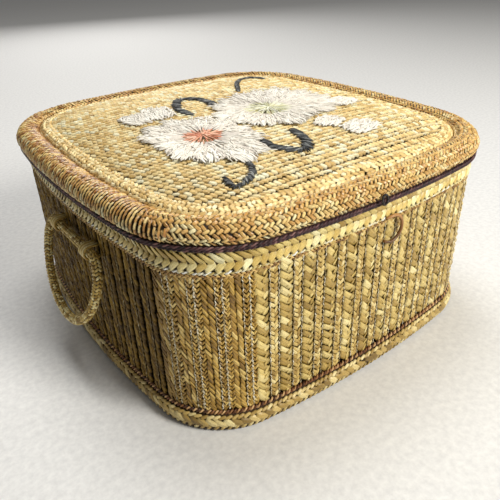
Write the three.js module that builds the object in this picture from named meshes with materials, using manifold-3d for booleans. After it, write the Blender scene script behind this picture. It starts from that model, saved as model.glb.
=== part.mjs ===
// A straw-covered sewing box: a bowed square basket with a padded, embroidered lid on two
// brass hinges, a carrying ring on each side, a cane ring on the front and two lift-out
// trays inside. Millimetres, +Z up. The origin is the middle of the base, on the floor.
// The front faces -Y, the hinges are at +Y and the carrying rings at -X and +X.

import * as THREE from 'three';
import { mergeVertices } from 'three/addons/utils/BufferGeometryUtils.js';
import Module from 'manifold-3d';

// ---- Driving dimensions ------------------------------------------------------------------

const HALF_WIDTH = 136; // outside of the straw wall, middle of the left and right sides
const HALF_DEPTH = 142.7; // outside of the straw wall, middle of the front and rear
const SIDE_ARC = 718; // radius of each gently bowed side
const BODY_CORNER = 50; // corner radius of the basket
const LID_CORNER = 62; // corner radius of the lid, rounder than the basket
const SIDE_STEPS = 2; // outline steps in half a side
const CORNER_STEPS = 6; // outline steps in a corner

const GAP = 0.3; // running gap between pieces that touch
const STRAW = 2.6; // thickness of the straw covering
const SHELL_OUT = -STRAW - GAP; // offsets count outwards from the straw wall's surface
const SHELL_IN = -6;
const LINING_IN = -7.6;

const BASE_TOP = 4; // top of the base board
const FOOT_TOP = 11.5; // top of the braided foot band
const FOOT_OUT = 3.6; // how far the foot band stands out
const FOOT_CORD_Z = 13.8;
const FOOT_CORD_R = 1.9;
const WALL_BOTTOM = 16;
const WALL_TOP = 108.7;
const RIM_CORD_Z = 112.3;
const RIM_CORD_R = 1;
const RIM_BAND_BOTTOM = 113.6;
const RIM_TOP = 125; // parting plane of box and lid
const RIM_OUT = 1.3;

const LID_LINING_BOTTOM = 125.4;
const LID_BOARD_BOTTOM = 127;
const LID_BOARD_TOP = 129;
const LID_BOARD_OUT = 2.4;
const PIPING_OUT = 4.6;
const PIPING_Z = 127.2;
const PIPING_R = 1.8;
const PANEL_EDGE = -10.7; // the woven panel starts inside the border roll
const PANEL_EDGE_Z = 137.6;
const PANEL_RISE = 8.6; // height of the dome over its edge
const PANEL_THICK = 2.2;
const DOME_RINGS = [1, 0.97, 0.91, 0.82, 0.68, 0.45];

const HINGE_X = 60;
const HINGE_Y = HALF_DEPTH + 6.9;
const HINGE_Z = RIM_TOP + 0.17;
const HINGE_HALF = 15;
const HINGE_LEAF = 11; // depth of a leaf
const HINGE_PLATE = 0.8;
const KNUCKLE_R = 2.2;
const KNUCKLE_HALF = 5;
const PIN_R = 0.9;
const BORE_R = 1.2;

const HANDLE_Y = -10; // the carrying rings hang a little forward of the middle
const HANDLE_Z = 95.5;
const HANDLE_OUT = 5; // bar centre from the wall's surface
const HANDLE_R = 3.1;
const HANDLE_HALF_WIDTH = 42.5;
const HANDLE_HALF_HEIGHT = 40.5;
const HANDLE_CENTRE_DROP = 15.7;
const HANDLE_REST = THREE.MathUtils.degToRad(15.5);
const LASHING_Y = 25; // distance of each lashing from the ring's middle
const LASHING_WIDTH = 8;
const LASHING_THICK = 1.5;

const RING_CENTRE = new THREE.Vector3(9, -HALF_DEPTH - 2.8, 104.5);
const RING_RADIUS = 8.9;
const RING_CANE_R = 1;
const RING_OPEN = THREE.MathUtils.degToRad(120); // half of the arc that the cane covers

const TRAY_OUT = -9.2;
const TRAY_WALL = 2.4;
const TRAY_HEIGHT = 30;
const LOWER_TRAY_Z = 56.3;
const UPPER_TRAY_Z = LOWER_TRAY_Z + TRAY_HEIGHT + GAP;
const TRAY_INSIDE = TRAY_OUT - TRAY_WALL - GAP;
const TRAY_LINING = 1.2;
const DIVIDER_THICK = 2;
const DIVIDER_DROP = 4; // dividers stop this far under the tray's rim
const LONG_DIVIDER_Y = 22;
const TAB_WIDTH = 14;
const TAB_THICK = 1.2;

// ---- Materials ----------------------------------------------------------------------------

function finish(color, roughness, metalness = 0) {
  return new THREE.MeshStandardMaterial({ color, roughness, metalness });
}

const materials = {
  straw: finish(0xc9a761, 0.5),
  rollStraw: finish(0xc08c50, 0.45),
  panelStraw: finish(0xd9bc7c, 0.55),
  paleCord: finish(0xe1d7b9, 0.6),
  brownCord: finish(0x96602c, 0.55),
  maroonCloth: finish(0x3c2323, 0.7),
  satin: finish(0x8c3b35, 0.4),
  board: finish(0xa98a5b, 0.8),
  wadding: finish(0xe8e4da, 0.95),
  trayWood: finish(0xb98a55, 0.5),
  brass: finish(0xb08d3c, 0.35, 0.9),
  cane: finish(0xb27837, 0.45),
  thread: finish(0x2c2422, 0.7),
  paleRaffia: finish(0xe6dccf, 0.6),
  pinkRaffia: finish(0xe1825f, 0.6),
  greenRaffia: finish(0xd0cfa6, 0.6),
  darkRaffia: finish(0x44484a, 0.6),
};

// ---- Outline of eight tangent arcs ---------------------------------------------------------

function cornerCentre(corner) {
  // The corner arc touches the right side's arc and the rear side's arc from inside.
  const right = new THREE.Vector2(HALF_WIDTH - SIDE_ARC, 0);
  const rear = new THREE.Vector2(0, HALF_DEPTH - SIDE_ARC);
  const reach = SIDE_ARC - corner;
  const along = new THREE.Vector2().subVectors(rear, right);
  const half = along.length() / 2;
  const across = new THREE.Vector2(-along.y, along.x).normalize();
  const middle = new THREE.Vector2().addVectors(right, rear).multiplyScalar(0.5);
  return middle.addScaledVector(across, Math.sqrt(reach * reach - half * half));
}

function arcPoints(centre, radius, from, to, steps) {
  const points = [];
  for (let i = 0; i < steps; i += 1) {
    const angle = from + ((to - from) * i) / steps;
    points.push(new THREE.Vector2(centre.x + radius * Math.cos(angle), centre.y + radius * Math.sin(angle)));
  }
  return points;
}

function outline(offset, corner = BODY_CORNER) {
  const centre = cornerCentre(corner);
  const sideEnd = Math.atan2(centre.y, centre.x - HALF_WIDTH + SIDE_ARC);
  const rearStart = Math.atan2(centre.y - HALF_DEPTH + SIDE_ARC, centre.x);
  const sideRadius = SIDE_ARC + offset;
  const right = new THREE.Vector2(HALF_WIDTH - SIDE_ARC, 0);
  const rear = new THREE.Vector2(0, HALF_DEPTH - SIDE_ARC);
  const quarter = [
    ...arcPoints(right, sideRadius, 0, sideEnd, SIDE_STEPS),
    ...arcPoints(centre, corner + offset, sideEnd, rearStart, CORNER_STEPS),
    ...arcPoints(rear, sideRadius, rearStart, Math.PI / 2, SIDE_STEPS),
    new THREE.Vector2(0, HALF_DEPTH + offset),
  ];
  const mirrored = quarter.slice(1, -1).reverse();
  return [
    ...quarter,
    ...mirrored.map((p) => new THREE.Vector2(-p.x, p.y)),
    ...quarter.map((p) => new THREE.Vector2(-p.x, -p.y)),
    ...mirrored.map((p) => new THREE.Vector2(p.x, -p.y)),
  ];
}

// ---- Solids ---------------------------------------------------------------------------------

const wasm = await Module();
wasm.setup();

function toSolid(geometry) {
  const bare = geometry.clone();
  bare.deleteAttribute('normal');
  bare.deleteAttribute('uv');
  const merged = mergeVertices(bare, 1e-4);
  const mesh = new wasm.Mesh({
    numProp: 3,
    vertProperties: Float32Array.from(merged.attributes.position.array),
    triVerts: Uint32Array.from(merged.index.array),
  });
  return new wasm.Manifold(mesh);
}

function toGeometry(solid) {
  const { vertProperties, triVerts } = solid.getMesh();
  return meshGeometry(vertProperties, triVerts);
}

function meshGeometry(positions, triangles) {
  const geometry = new THREE.BufferGeometry();
  geometry.setAttribute('position', new THREE.BufferAttribute(Float32Array.from(positions), 3));
  geometry.setIndex(Array.from(triangles));
  geometry.computeVertexNormals();
  return geometry;
}

// Rows of points joined into a skin. Rows close on themselves; the last row meets the first
// one, or else each end is closed by a fan to the height in ends.
function skin(rows, ends = null) {
  const size = rows[0].length;
  const positions = rows.flat().flatMap((p) => [p.x, p.y, p.z]);
  const triangles = [];
  const bands = ends ? rows.length - 1 : rows.length;
  for (let j = 0; j < bands; j += 1) {
    const low = j * size;
    const high = ((j + 1) % rows.length) * size;
    for (let i = 0; i < size; i += 1) {
      const next = (i + 1) % size;
      triangles.push(low + i, low + next, high + next, low + i, high + next, high + i);
    }
  }
  if (ends) {
    const last = (rows.length - 1) * size;
    const bottom = rows.length * size;
    positions.push(0, 0, ends[0], 0, 0, ends[1]);
    for (let i = 0; i < size; i += 1) {
      const next = (i + 1) % size;
      triangles.push(bottom, next, i, bottom + 1, last + i, last + next);
    }
  }
  return meshGeometry(positions, triangles);
}

function row(offset, z, corner, scale = 1) {
  return outline(offset, corner).map((p) => new THREE.Vector3(p.x * scale, p.y * scale, z));
}

// A hoop that follows the outline, with the section given as [offset, z] corners.
function hoop(section, corner = BODY_CORNER) {
  return skin(section.map(([offset, z]) => row(offset, z, corner)));
}

function wallHoop(inner, outer, bottom, top, corner = BODY_CORNER) {
  return hoop([[inner, bottom], [outer, bottom], [outer, top], [inner, top]], corner);
}

function roundHoop(offset, z, radius, sides, corner = BODY_CORNER) {
  const section = [];
  for (let i = 0; i < sides; i += 1) {
    const angle = ((i + 0.5) * 2 * Math.PI) / sides;
    section.push([offset + radius * Math.cos(angle), z + radius * Math.sin(angle)]);
  }
  return hoop(section, corner);
}

function plate(offset, bottom, top, corner = BODY_CORNER) {
  return skin([row(offset, bottom, corner), row(offset, top, corner)], [bottom, top]);
}

function box(xLow, xHigh, yLow, yHigh, zLow, zHigh) {
  const geometry = new THREE.BoxGeometry(xHigh - xLow, yHigh - yLow, zHigh - zLow);
  return geometry.translate((xLow + xHigh) / 2, (yLow + yHigh) / 2, (zLow + zHigh) / 2);
}

function rodAlongX(xLow, xHigh, y, z, radius, sides = 16) {
  const geometry = new THREE.CylinderGeometry(radius, radius, xHigh - xLow, sides);
  return geometry.rotateZ(Math.PI / 2).translate((xLow + xHigh) / 2, y, z);
}

// ---- Nodes ------------------------------------------------------------------------------------

const sewingBox = new THREE.Group();
const basket = new THREE.Group();
const lid = new THREE.Group();
const trays = new THREE.Group();
sewingBox.add(basket, lid, trays);

function add(group, name, geometry, material) {
  const mesh = new THREE.Mesh(geometry, material.clone());
  mesh.name = name;
  group.add(mesh);
  return mesh;
}

// ---- Basket -------------------------------------------------------------------------------------

function hingeNotches(zLow, zHigh) {
  const y = HINGE_Y - KNUCKLE_R - HINGE_LEAF - 3 * GAP;
  const half = HINGE_HALF + GAP;
  const left = box(-HINGE_X - half, -HINGE_X + half, y, HINGE_Y, zLow, zHigh);
  const right = box(HINGE_X - half, HINGE_X + half, y, HINGE_Y, zLow, zHigh);
  return toSolid(left).add(toSolid(right));
}

function notched(geometry, notches) {
  return toGeometry(toSolid(geometry).subtract(notches));
}

function addBasket() {
  const leafNotches = hingeNotches(RIM_TOP - HINGE_PLATE - GAP, RIM_TOP + 1);
  const footSection = [
    [-STRAW, 0],
    [2, 0],
    [FOOT_OUT, 2.6],
    [FOOT_OUT, 8.4],
    [2, FOOT_TOP],
    [-STRAW, FOOT_TOP],
  ];
  const rimSection = [
    [-STRAW, RIM_BAND_BOTTOM],
    [0.6, RIM_BAND_BOTTOM],
    [RIM_OUT, RIM_BAND_BOTTOM + 2],
    [RIM_OUT, RIM_TOP - 1.5],
    [0.6, RIM_TOP],
    [-STRAW, RIM_TOP],
  ];
  const shell = wallHoop(SHELL_IN, SHELL_OUT, BASE_TOP + GAP, RIM_TOP);
  add(basket, 'base_board', plate(SHELL_OUT - GAP, 0, BASE_TOP), materials.board);
  add(basket, 'wall_shell', notched(shell, leafNotches), materials.board);
  add(basket, 'foot_band', hoop(footSection), materials.straw);
  add(basket, 'foot_cord', roundHoop(0.2, FOOT_CORD_Z, FOOT_CORD_R, 8), materials.brownCord);
  add(basket, 'straw_wall', wallHoop(-STRAW, 0, WALL_BOTTOM, WALL_TOP), materials.straw);
  add(basket, 'rim_braid', wallHoop(-STRAW, 0.4, WALL_TOP + GAP, WALL_TOP + 2.3), materials.brownCord);
  add(basket, 'rim_cord', roundHoop(0, RIM_CORD_Z, RIM_CORD_R, 6), materials.paleCord);
  add(basket, 'rim_band', notched(hoop(rimSection), leafNotches), materials.straw);
  add(basket, 'wall_lining', wallHoop(LINING_IN, SHELL_IN - GAP, BASE_TOP + GAP, RIM_TOP - 3), materials.satin);
  add(basket, 'base_pad', plate(LINING_IN - GAP, BASE_TOP + GAP, BASE_TOP + 3.5), materials.satin);
  addLedges();
}

function addLedges() {
  const top = LOWER_TRAY_Z - GAP;
  const strip = toSolid(wallHoop(LINING_IN - 5.5, LINING_IN - GAP, top - 4.2, top));
  const reach = 60;
  const left = toSolid(box(-HALF_WIDTH, 0, -reach, reach, top - 10, top + 10));
  const right = toSolid(box(0, HALF_WIDTH, -reach, reach, top - 10, top + 10));
  add(basket, 'tray_ledge_left', toGeometry(strip.intersect(left)), materials.trayWood);
  add(basket, 'tray_ledge_right', toGeometry(strip.intersect(right)), materials.trayWood);
}

// ---- Hinges --------------------------------------------------------------------------------------

function leaf(x, plateLow, knuckles) {
  const plateEnd = HINGE_Y - KNUCKLE_R - 0.5;
  const plateHigh = plateLow + HINGE_PLATE;
  let solid = toSolid(box(x - HINGE_HALF, x + HINGE_HALF, plateEnd - HINGE_LEAF, plateEnd, plateLow, plateHigh));
  for (const [low, high] of knuckles) {
    solid = solid.add(toSolid(box(x + low, x + high, plateEnd - 1, HINGE_Y, plateLow, plateHigh)));
    solid = solid.add(toSolid(rodAlongX(x + low, x + high, HINGE_Y, HINGE_Z, KNUCKLE_R)));
  }
  const bore = toSolid(rodAlongX(x - HINGE_HALF - 1, x + HINGE_HALF + 1, HINGE_Y, HINGE_Z, BORE_R));
  return toGeometry(solid.subtract(bore));
}

function addHinge(side, x) {
  const inner = KNUCKLE_HALF + GAP;
  const outerKnuckles = [[-HINGE_HALF, -inner], [inner, HINGE_HALF]];
  const middleKnuckle = [[-KNUCKLE_HALF, KNUCKLE_HALF]];
  const pin = rodAlongX(x - HINGE_HALF - 0.5, x + HINGE_HALF + 0.5, HINGE_Y, HINGE_Z, PIN_R);
  add(basket, `hinge_${side}_box_leaf`, leaf(x, RIM_TOP - HINGE_PLATE, outerKnuckles), materials.brass);
  add(basket, `hinge_${side}_pin`, pin, materials.brass);
  add(lid, `hinge_${side}_lid_leaf`, leaf(x, RIM_TOP + 0.35, middleKnuckle), materials.brass);
}

// ---- Carrying rings --------------------------------------------------------------------------------

// The ring is an ellipse cut straight across near its top by the bar that the lashings hold.
function handleCurve() {
  const cut = Math.asin(HANDLE_CENTRE_DROP / HANDLE_HALF_HEIGHT);
  const barHalf = HANDLE_HALF_WIDTH * Math.cos(cut) - 5;
  const points = [];
  for (const part of [-1, -0.9, -0.45, 0, 0.45, 0.9, 1]) {
    points.push(new THREE.Vector3(0, barHalf * part, 0));
  }
  const steps = 14;
  for (let i = 1; i < steps; i += 1) {
    const angle = cut - ((Math.PI + 2 * cut) * i) / steps;
    const y = HANDLE_HALF_WIDTH * Math.cos(angle);
    points.push(new THREE.Vector3(0, y, HANDLE_HALF_HEIGHT * Math.sin(angle) - HANDLE_CENTRE_DROP));
  }
  return new THREE.CatmullRomCurve3(points, true, 'centripetal');
}

function lashing(side, y) {
  // A saddle over the bar, seen along the bar, with its two legs ending at the wall.
  const inner = HANDLE_R + GAP + 0.05;
  const outer = inner + LASHING_THICK;
  const leg = HANDLE_OUT - 2 * GAP;
  const shape = new THREE.Shape();
  shape.moveTo(-leg, -outer);
  shape.lineTo(0, -outer);
  shape.absarc(0, 0, outer, -Math.PI / 2, Math.PI / 2, false);
  shape.lineTo(-leg, outer);
  shape.lineTo(-leg, inner);
  shape.lineTo(0, inner);
  shape.absarc(0, 0, inner, Math.PI / 2, -Math.PI / 2, true);
  shape.lineTo(-leg, -inner);
  const geometry = new THREE.ExtrudeGeometry(shape, { depth: LASHING_WIDTH, bevelEnabled: false, curveSegments: 8 });
  geometry.rotateX(Math.PI / 2);
  geometry.translate(HALF_WIDTH + HANDLE_OUT, y + LASHING_WIDTH / 2, HANDLE_Z);
  return side < 0 ? mirrorX(geometry) : geometry;
}

function mirrorX(geometry) {
  const flat = geometry.index ? geometry.toNonIndexed() : geometry;
  const source = flat.attributes.position.array;
  const mirrored = new Float32Array(source.length);
  for (let t = 0; t < source.length; t += 9) {
    for (let corner = 0; corner < 3; corner += 1) {
      const from = t + corner * 3;
      const to = t + (2 - corner) * 3;
      mirrored[to] = -source[from];
      mirrored[to + 1] = source[from + 1];
      mirrored[to + 2] = source[from + 2];
    }
  }
  const result = new THREE.BufferGeometry();
  result.setAttribute('position', new THREE.BufferAttribute(mirrored, 3));
  return result;
}

function addHandle(name, side) {
  const ring = new THREE.TubeGeometry(handleCurve(), 44, HANDLE_R, 8, true);
  const swing = new THREE.Group();
  swing.position.set(side * (HALF_WIDTH + HANDLE_OUT), HANDLE_Y, HANDLE_Z);
  swing.rotation.y = -side * HANDLE_REST;
  sewingBox.add(swing);
  add(swing, name, ring, materials.straw);
  add(basket, `${name}_front_lashing`, lashing(side, HANDLE_Y - LASHING_Y), materials.straw);
  add(basket, `${name}_rear_lashing`, lashing(side, HANDLE_Y + LASHING_Y), materials.straw);
}

// ---- Front ring -------------------------------------------------------------------------------------

function addFrontRing() {
  const points = [];
  const steps = 12;
  for (let i = 0; i <= steps; i += 1) {
    const angle = RING_OPEN - (2 * RING_OPEN * i) / steps;
    points.push(new THREE.Vector3(RING_RADIUS * Math.cos(angle), 0, RING_RADIUS * Math.sin(angle)));
  }
  const section = new THREE.Shape().absarc(0, 0, RING_CANE_R, 0, 2 * Math.PI);
  const extrudePath = new THREE.CatmullRomCurve3(points);
  const cane = new THREE.ExtrudeGeometry(section, { steps: 16, extrudePath, curveSegments: 4, bevelEnabled: false });
  const mesh = add(sewingBox, 'front_ring', cane, materials.cane);
  mesh.position.copy(RING_CENTRE);
}

// ---- Lid ----------------------------------------------------------------------------------------------

function domeHeight(reach) {
  return PANEL_EDGE_Z + PANEL_RISE * (1 - reach ** 5) ** 0.8;
}

// Rings of the dome from its edge to its middle, raised by lift.
function domeRows(edge, lift) {
  return DOME_RINGS.map((reach) => row(edge, domeHeight(reach) + lift, LID_CORNER, reach));
}

function domeSlab(edge, low, high) {
  const rows = [...domeRows(edge, low).reverse(), ...domeRows(edge, high)];
  return skin(rows, [domeHeight(0) + low, domeHeight(0) + high]);
}

function addLid() {
  const leafNotches = hingeNotches(LID_LINING_BOTTOM - 1, RIM_TOP + 0.35 + HINGE_PLATE + GAP);
  const liningNotches = hingeNotches(LID_LINING_BOTTOM - 1, LID_BOARD_BOTTOM);
  const rollSection = [
    [4.6, 129.4],
    [6.6, 131.2],
    [7, 133.6],
    [6, 137],
    [3.2, 140],
    [-0.5, 141.5],
    [-4.5, 141.3],
    [-8.2, 139.7],
    [-10.4, 137.4],
    [-10.4, 129.4],
  ];
  const piping = roundHoop(PIPING_OUT, PIPING_Z, PIPING_R, 8, LID_CORNER);
  const lining = plate(LID_BOARD_OUT, LID_LINING_BOTTOM, LID_BOARD_BOTTOM - GAP, LID_CORNER);
  const paddingBottom = row(PANEL_EDGE - GAP, LID_BOARD_TOP + GAP, LID_CORNER);
  const paddingTop = domeRows(PANEL_EDGE - GAP, -PANEL_THICK - GAP);
  const padding = skin([paddingBottom, ...paddingTop], [LID_BOARD_TOP + GAP, domeHeight(0) - PANEL_THICK - GAP]);
  add(lid, 'lid_board', plate(LID_BOARD_OUT, LID_BOARD_BOTTOM, LID_BOARD_TOP, LID_CORNER), materials.board);
  add(lid, 'lid_lining', notched(lining, liningNotches), materials.satin);
  add(lid, 'lid_padding', padding, materials.wadding);
  add(lid, 'lid_panel', domeSlab(PANEL_EDGE, -PANEL_THICK, 0), materials.panelStraw);
  add(lid, 'lid_border_roll', hoop(rollSection, LID_CORNER), materials.rollStraw);
  add(lid, 'lid_piping', notched(piping, leafNotches), materials.maroonCloth);
  addLidLoop();
}

function addLidLoop() {
  const loop = new THREE.TorusGeometry(2.2, 0.6, 6, 16);
  loop.scale(1, 1.4, 1);
  loop.rotateX(Math.PI / 2);
  loop.rotateY(THREE.MathUtils.degToRad(-14));
  const mesh = add(lid, 'lid_loop', loop, materials.thread);
  mesh.position.set(-7, -HALF_DEPTH - 8, 130.2);
}

// ---- Embroidery -----------------------------------------------------------------------------------------

const SEWN_LOW = 130;
const SEWN_HIGH = 160;

function ellipsePrism(x, y, halfLength, halfWidth, degrees, grow) {
  const shape = new THREE.Shape();
  const turn = THREE.MathUtils.degToRad(degrees);
  shape.absellipse(x, y, halfLength + grow, halfWidth + grow, 0, 2 * Math.PI, false, turn);
  const depth = SEWN_HIGH - SEWN_LOW;
  const geometry = new THREE.ExtrudeGeometry(shape, { depth, bevelEnabled: false, curveSegments: 7 });
  return toSolid(geometry.translate(0, 0, SEWN_LOW));
}

function bunch(shapes, grow) {
  return shapes.map((s) => ellipsePrism(...s, grow)).reduce((all, one) => all.add(one));
}

// Petals that fan out of one middle, each [degrees, length, width].
function fan(x, y, petals) {
  return petals.map(([degrees, length, width]) => {
    const angle = THREE.MathUtils.degToRad(degrees);
    const half = length / 2;
    return [x + half * Math.cos(angle), y + half * Math.sin(angle), half, width / 2, degrees];
  });
}

function ribbonPrism(points, width) {
  const curve = new THREE.CatmullRomCurve3(points.map(([x, y]) => new THREE.Vector3(x, y, 0)));
  const steps = 10;
  const left = [];
  const right = [];
  for (let i = 0; i <= steps; i += 1) {
    const t = i / steps;
    const p = curve.getPoint(t);
    const along = curve.getTangent(t);
    const half = (width / 2) * (0.55 + 0.45 * Math.sin(Math.PI * t));
    left.push(new THREE.Vector2(p.x - along.y * half, p.y + along.x * half));
    right.unshift(new THREE.Vector2(p.x + along.y * half, p.y - along.x * half));
  }
  const depth = SEWN_HIGH - SEWN_LOW;
  const geometry = new THREE.ExtrudeGeometry(new THREE.Shape([...left, ...right]), { depth, bevelEnabled: false });
  return toSolid(geometry.translate(0, 0, SEWN_LOW));
}

const PINK_FLOWER = fan(-47, -27, [
  [2, 36, 24],
  [45, 38, 24],
  [88, 47, 26],
  [135, 42, 24],
  [180, 35, 24],
  [228, 42, 22],
  [270, 55, 26],
  [312, 41, 24],
]);
const GREEN_FLOWER = fan(28, -4, [
  [0, 60, 28],
  [30, 60, 30],
  [62, 56, 30],
  [92, 48, 28],
  [128, 50, 28],
  [162, 42, 26],
  [200, 48, 26],
  [234, 46, 26],
  [266, 48, 26],
  [298, 46, 24],
  [328, 48, 26],
]);
const LEFT_BUD = [[-58, 38, 12, 10, 20], [-42, 40, 18, 9, 70]];
const RIGHT_BUD = [[82, -30, 16, 9, 20]];
const FRONT_BUD = [[36, -61, 15, 8, 20]];
const LOW_BUD = [[45, -82, 18, 9, 0]];
const STEMS = {
  stem_arch: { width: 8, points: [[-29, 18], [-27, 41], [-12, 62], [1, 48], [-3, 20]] },
  stem_hook: { width: 4.5, points: [[38, 50], [56, 77], [72, 91], [85, 88], [88, 77]] },
  stem_bow: { width: 8, points: [[-24, -61], [-26, -77], [-15, -91], [-3, -80], [5, -57]] },
  stem_curl: { width: 5, points: [[-53, -85], [-59, -97], [-68, -104], [-78, -105], [-76, -93]] },
};

function addEmbroidery() {
  const raised = 0.25;
  const slab = (low, high) => toSolid(domeSlab(PANEL_EDGE - 1, raised + low, raised + high));
  const petalSlab = slab(0, 1.1);
  const stemSlab = slab(0, 1.5);
  const centreSlab = slab(1.1 + GAP, 2.3);
  let taken = null;
  const sew = (name, prism, grown, within, material) => {
    const solid = taken ? within.intersect(prism).subtract(taken) : within.intersect(prism);
    add(lid, name, toGeometry(solid), material);
    taken = taken ? taken.add(grown) : grown;
  };
  const patches = {
    pink_flower_petals: PINK_FLOWER,
    green_flower_petals: GREEN_FLOWER,
    left_bud: LEFT_BUD,
    right_bud: RIGHT_BUD,
    front_bud: FRONT_BUD,
    low_bud: LOW_BUD,
  };
  for (const [name, shapes] of Object.entries(patches)) {
    sew(name, bunch(shapes, 0), bunch(shapes, 0.4), petalSlab, materials.paleRaffia);
  }
  for (const [name, { width, points }] of Object.entries(STEMS)) {
    const prism = ribbonPrism(points, width);
    sew(name, prism, prism, stemSlab, materials.darkRaffia);
  }
  const pinkCentre = ellipsePrism(-50, -31, 14.5, 15.5, 0, 0);
  const greenCentre = ellipsePrism(23, -9, 16, 17, 0, 0);
  add(lid, 'pink_flower_centre', toGeometry(centreSlab.intersect(pinkCentre)), materials.pinkRaffia);
  add(lid, 'green_flower_centre', toGeometry(centreSlab.intersect(greenCentre)), materials.greenRaffia);
}

// ---- Trays --------------------------------------------------------------------------------------------------

function trayShell(bottom) {
  const top = bottom + TRAY_HEIGHT;
  const floor = bottom + TRAY_WALL;
  const inner = TRAY_OUT - TRAY_WALL;
  const rows = [row(TRAY_OUT, bottom), row(TRAY_OUT, top), row(inner, top), row(inner, floor)];
  return skin(rows, [bottom, floor]);
}

function divider(bottom, xLow, xHigh, yLow, yHigh) {
  const low = bottom + TRAY_WALL + TRAY_LINING + 2 * GAP;
  const high = bottom + TRAY_HEIGHT - DIVIDER_DROP;
  const inside = toSolid(plate(TRAY_INSIDE, low - 1, high + 1));
  return toGeometry(toSolid(box(xLow, xHigh, yLow, yHigh, low, high)).intersect(inside));
}

function trayLining(bottom) {
  const low = bottom + TRAY_WALL + GAP;
  return plate(TRAY_INSIDE, low, low + TRAY_LINING);
}

function tab(side, top, height) {
  const out = side * (HALF_WIDTH + TRAY_INSIDE - GAP);
  const inner = out - side * TAB_THICK;
  return box(Math.min(out, inner), Math.max(out, inner), -TAB_WIDTH / 2, TAB_WIDTH / 2, top - height, top);
}

function addUpperTray() {
  const bottom = UPPER_TRAY_Z;
  const half = DIVIDER_THICK / 2;
  const beside = half + GAP;
  const edge = HALF_DEPTH;
  const crossX = 44;
  const frontSpan = [-edge, LONG_DIVIDER_Y - beside];
  const rearSpan = [LONG_DIVIDER_Y + beside, edge];
  add(trays, 'tray_upper_shell', trayShell(bottom), materials.trayWood);
  add(trays, 'tray_upper_lining', trayLining(bottom), materials.satin);
  const long = divider(bottom, -edge, edge, LONG_DIVIDER_Y - half, LONG_DIVIDER_Y + half);
  add(trays, 'tray_upper_divider_long', long, materials.trayWood);
  const crosses = {
    front_left: [-crossX, frontSpan],
    front_right: [crossX, frontSpan],
    rear: [0, rearSpan],
  };
  for (const [place, [x, span]] of Object.entries(crosses)) {
    add(trays, `tray_upper_divider_${place}`, divider(bottom, x - half, x + half, ...span), materials.trayWood);
  }
  const top = bottom + TRAY_HEIGHT + 4.5;
  add(trays, 'tray_upper_tab_left', tab(-1, top, 14), materials.maroonCloth);
  add(trays, 'tray_upper_tab_right', tab(1, top, 14), materials.maroonCloth);
}

function addLowerTray() {
  const bottom = LOWER_TRAY_Z;
  const half = DIVIDER_THICK / 2;
  const edge = HALF_DEPTH;
  const splitX = 30;
  const crossY = -32;
  add(trays, 'tray_lower_shell', trayShell(bottom), materials.trayWood);
  add(trays, 'tray_lower_lining', trayLining(bottom), materials.satin);
  const long = divider(bottom, splitX - half, splitX + half, -edge, edge);
  const cross = divider(bottom, splitX + half + GAP, edge, crossY - half, crossY + half);
  add(trays, 'tray_lower_divider_long', long, materials.trayWood);
  add(trays, 'tray_lower_divider_cross', cross, materials.trayWood);
  const top = bottom + TRAY_HEIGHT - GAP;
  add(trays, 'tray_lower_tab_left', tab(-1, top, 12), materials.maroonCloth);
  add(trays, 'tray_lower_tab_right', tab(1, top, 12), materials.maroonCloth);
}

addBasket();
addHinge('left', -HINGE_X);
addHinge('right', HINGE_X);
addHandle('handle_left', -1);
addHandle('handle_right', 1);
addFrontRing();
addLid();
addEmbroidery();
addUpperTray();
addLowerTray();

export default sewingBox;
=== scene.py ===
"""Look of the straw sewing box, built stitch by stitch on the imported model's frame."""
import math
from collections import namedtuple
from functools import cache

import bmesh
import bpy
import numpy as np
from mathutils import Matrix, Vector


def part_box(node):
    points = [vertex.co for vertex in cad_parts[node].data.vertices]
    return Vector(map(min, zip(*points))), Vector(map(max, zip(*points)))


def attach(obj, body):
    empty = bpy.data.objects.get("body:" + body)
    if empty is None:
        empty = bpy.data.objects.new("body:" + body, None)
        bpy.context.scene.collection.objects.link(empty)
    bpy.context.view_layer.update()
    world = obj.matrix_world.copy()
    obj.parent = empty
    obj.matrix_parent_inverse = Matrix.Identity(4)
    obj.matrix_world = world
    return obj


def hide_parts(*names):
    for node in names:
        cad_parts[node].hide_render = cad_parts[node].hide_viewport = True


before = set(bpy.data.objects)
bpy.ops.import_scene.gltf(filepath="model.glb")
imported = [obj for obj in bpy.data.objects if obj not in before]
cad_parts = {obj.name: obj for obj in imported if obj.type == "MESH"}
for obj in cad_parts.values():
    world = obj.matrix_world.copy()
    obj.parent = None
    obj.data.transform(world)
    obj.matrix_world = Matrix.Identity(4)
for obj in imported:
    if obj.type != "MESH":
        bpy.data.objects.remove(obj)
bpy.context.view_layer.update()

MM = 0.001

# Sizes in millimetres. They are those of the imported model, which holds only the finished solids.
HALF_WIDTH = 136.0
HALF_DEPTH = 142.7
SIDE_ARC = 718.0
BODY_CORNER = 50.0
LID_CORNER = 62.0
PANEL_EDGE = -10.7
PANEL_EDGE_Z = 137.6
PANEL_RISE = 8.6
ROLL_SECTION = [
    (4.6, 129.4), (6.6, 131.2), (7.0, 133.6), (6.0, 137.0), (3.2, 140.0),
    (-0.5, 141.5), (-4.5, 141.3), (-8.2, 139.7), (-10.4, 137.4), (-10.4, 134.4),
]
ROLL_MIDDLE = (-2.0, 134.5)
ROLL_CORE = 0.86
ROLL_CORE_LOW = 129.6
PIPING_OUT = 4.4
PIPING_Z = 127.2
PIPING_R = 1.45
HANDLE_Y = -10.0
HANDLE_Z = 95.5
HANDLE_OUT = 5.0
HANDLE_R = 3.1
HANDLE_HALF_WIDTH = 42.5
HANDLE_HALF_HEIGHT = 40.5
HANDLE_CENTRE_DROP = 15.7
HANDLE_REST = math.radians(15.5)
LASHING_Y = 25.0
LASHING_TURNS = 6
LASHING_PITCH = 1.42
RING_CENTRE = (9.0, -145.5, 104.5)
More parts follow.
